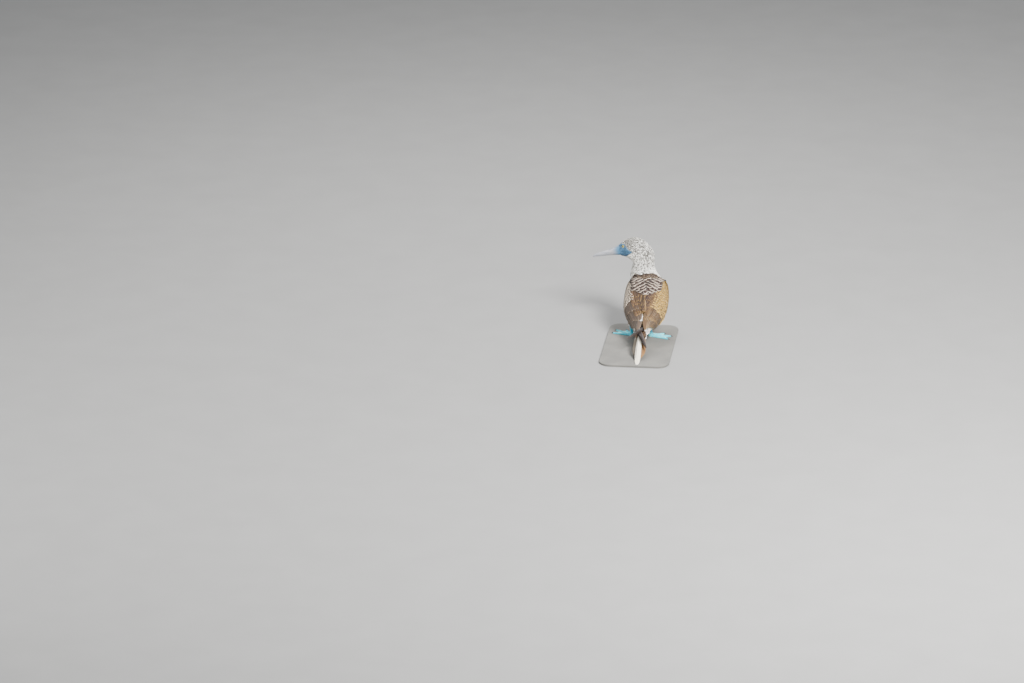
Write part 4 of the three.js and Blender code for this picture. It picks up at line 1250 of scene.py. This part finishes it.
# Claws are polished by walking, so they show a small sharp highlight.
nail = worn_surface("Claw horn, dark, worn smooth", "#3c3c3f", "#6a6a6c", 0.7, 0.05, Roughness=0.35)
for leg in SIDES:
    eyeball(leg, glass)
    leg_piece(leg, webbed)
    for toe_number in range(len(TOES)):
        claw(leg, toe_number, nail)

# A roller leaves a low stipple and sanding flattens it, so the board stays plain and dull under the bird.
paint = worn_surface("Board, matt paint rolled on and rubbed down", "#6d6b66", "#787670", 1.1, 0.05,
                     patch_mm=90.0, Roughness=0.6, Specular_IOR_Level=0.3)
display_board(paint)


# Floor, light and camera

def pale_floor():
    """A matt painted floor: even, with a very faint mottle so that it doesn't look like paper."""
    mesh = bpy.data.meshes.new("floor")
    far = 30.0
    mesh.from_pydata([(-far, -far, 0), (far, -far, 0), (far, far, 0), (-far, far, 0)], [], [(0, 1, 2, 3)])
    floor = bpy.data.objects.new("floor", mesh)
    bpy.context.scene.collection.objects.link(floor)
    material, tree, shader = new_material("Painted floor, matt", Roughness=0.9)
    place = add(tree, "TexCoord", out="Object")
    mottle = add(tree, "TexNoise", {"Vector": place, "Scale": 6.0, "Detail": 5.0})
    tinted = add(tree, "Mix", {0: mottle, 6: colour("#868583"), 7: colour("#8f8e8c")}, 2,
                 data_type="RGBA")
    tree.links.new(tinted, shader.inputs["Base Color"])
    floor.data.materials.append(material)


def aimed(thing, at, target):
    """Puts a lamp in its place, turned to a target."""
    thing.location = at
    thing.rotation_euler = (Vector(target) - Vector(at)).to_track_quat("-Z", "Y").to_euler()
    bpy.context.scene.collection.objects.link(thing)


def studio_lights():
    """A bright key from behind on the bird's right, a weak fill from its left and a soft one ahead."""
    for name, at, watts, size in (("key", (-2.4, 2.8, 3.6), 900, 1.6), ("fill", (3.2, 2.0, 1.8), 75, 2.6),
                                  ("top", (0.6, -1.8, 3.4), 160, 2.2)):
        light = bpy.data.lights.new(name, "AREA")
        light.energy = watts
        light.size = size
        aimed(bpy.data.objects.new(name, light), at, (0, 0, 0.18))
    world = bpy.data.worlds.new("Pale studio")
    world.use_nodes = True
    world.node_tree.nodes["Background"].inputs["Color"].default_value = colour("#e9eef4")
    world.node_tree.nodes["Background"].inputs["Strength"].default_value = 0.55
    bpy.context.scene.world = world


def photo_camera():
    """The photograph's view: from behind the bird's back, 20 degrees up, through a long lens."""
    facing = math.radians(186)
    lift = math.radians(20)
    right = np.array([math.cos(facing), math.sin(facing), 0])
    back = np.array([math.sin(facing) * math.cos(lift), -math.cos(facing) * math.cos(lift), math.sin(lift)])
    above = np.cross(back, right)
    lens_pixels = 200 / 36 * 1024
    scale = 0.26                       # pixels of the photograph in a millimetre of bird
    away = lens_pixels / scale
    target = -23 * right + 138 * above
    forward = unit(-back - 126 / lens_pixels * right - 41.5 / lens_pixels * above)
    side = unit(right - (right @ forward) * forward)
    up = np.cross(side, forward)
    data = bpy.data.cameras.new("photo")
    data.lens = 200
    data.sensor_width = 36
    data.clip_end = 200
    camera = bpy.data.objects.new("photo", data)
    turn = np.eye(4)
    turn[:3, :3] = np.stack([side, up, -forward], 1)
    turn[:3, 3] = (target + SHIFT + away * back) * MM
    camera.matrix_world = Matrix(turn.tolist())
    bpy.context.scene.collection.objects.link(camera)
    bpy.context.scene.camera = camera


pale_floor()
studio_lights()
photo_camera()
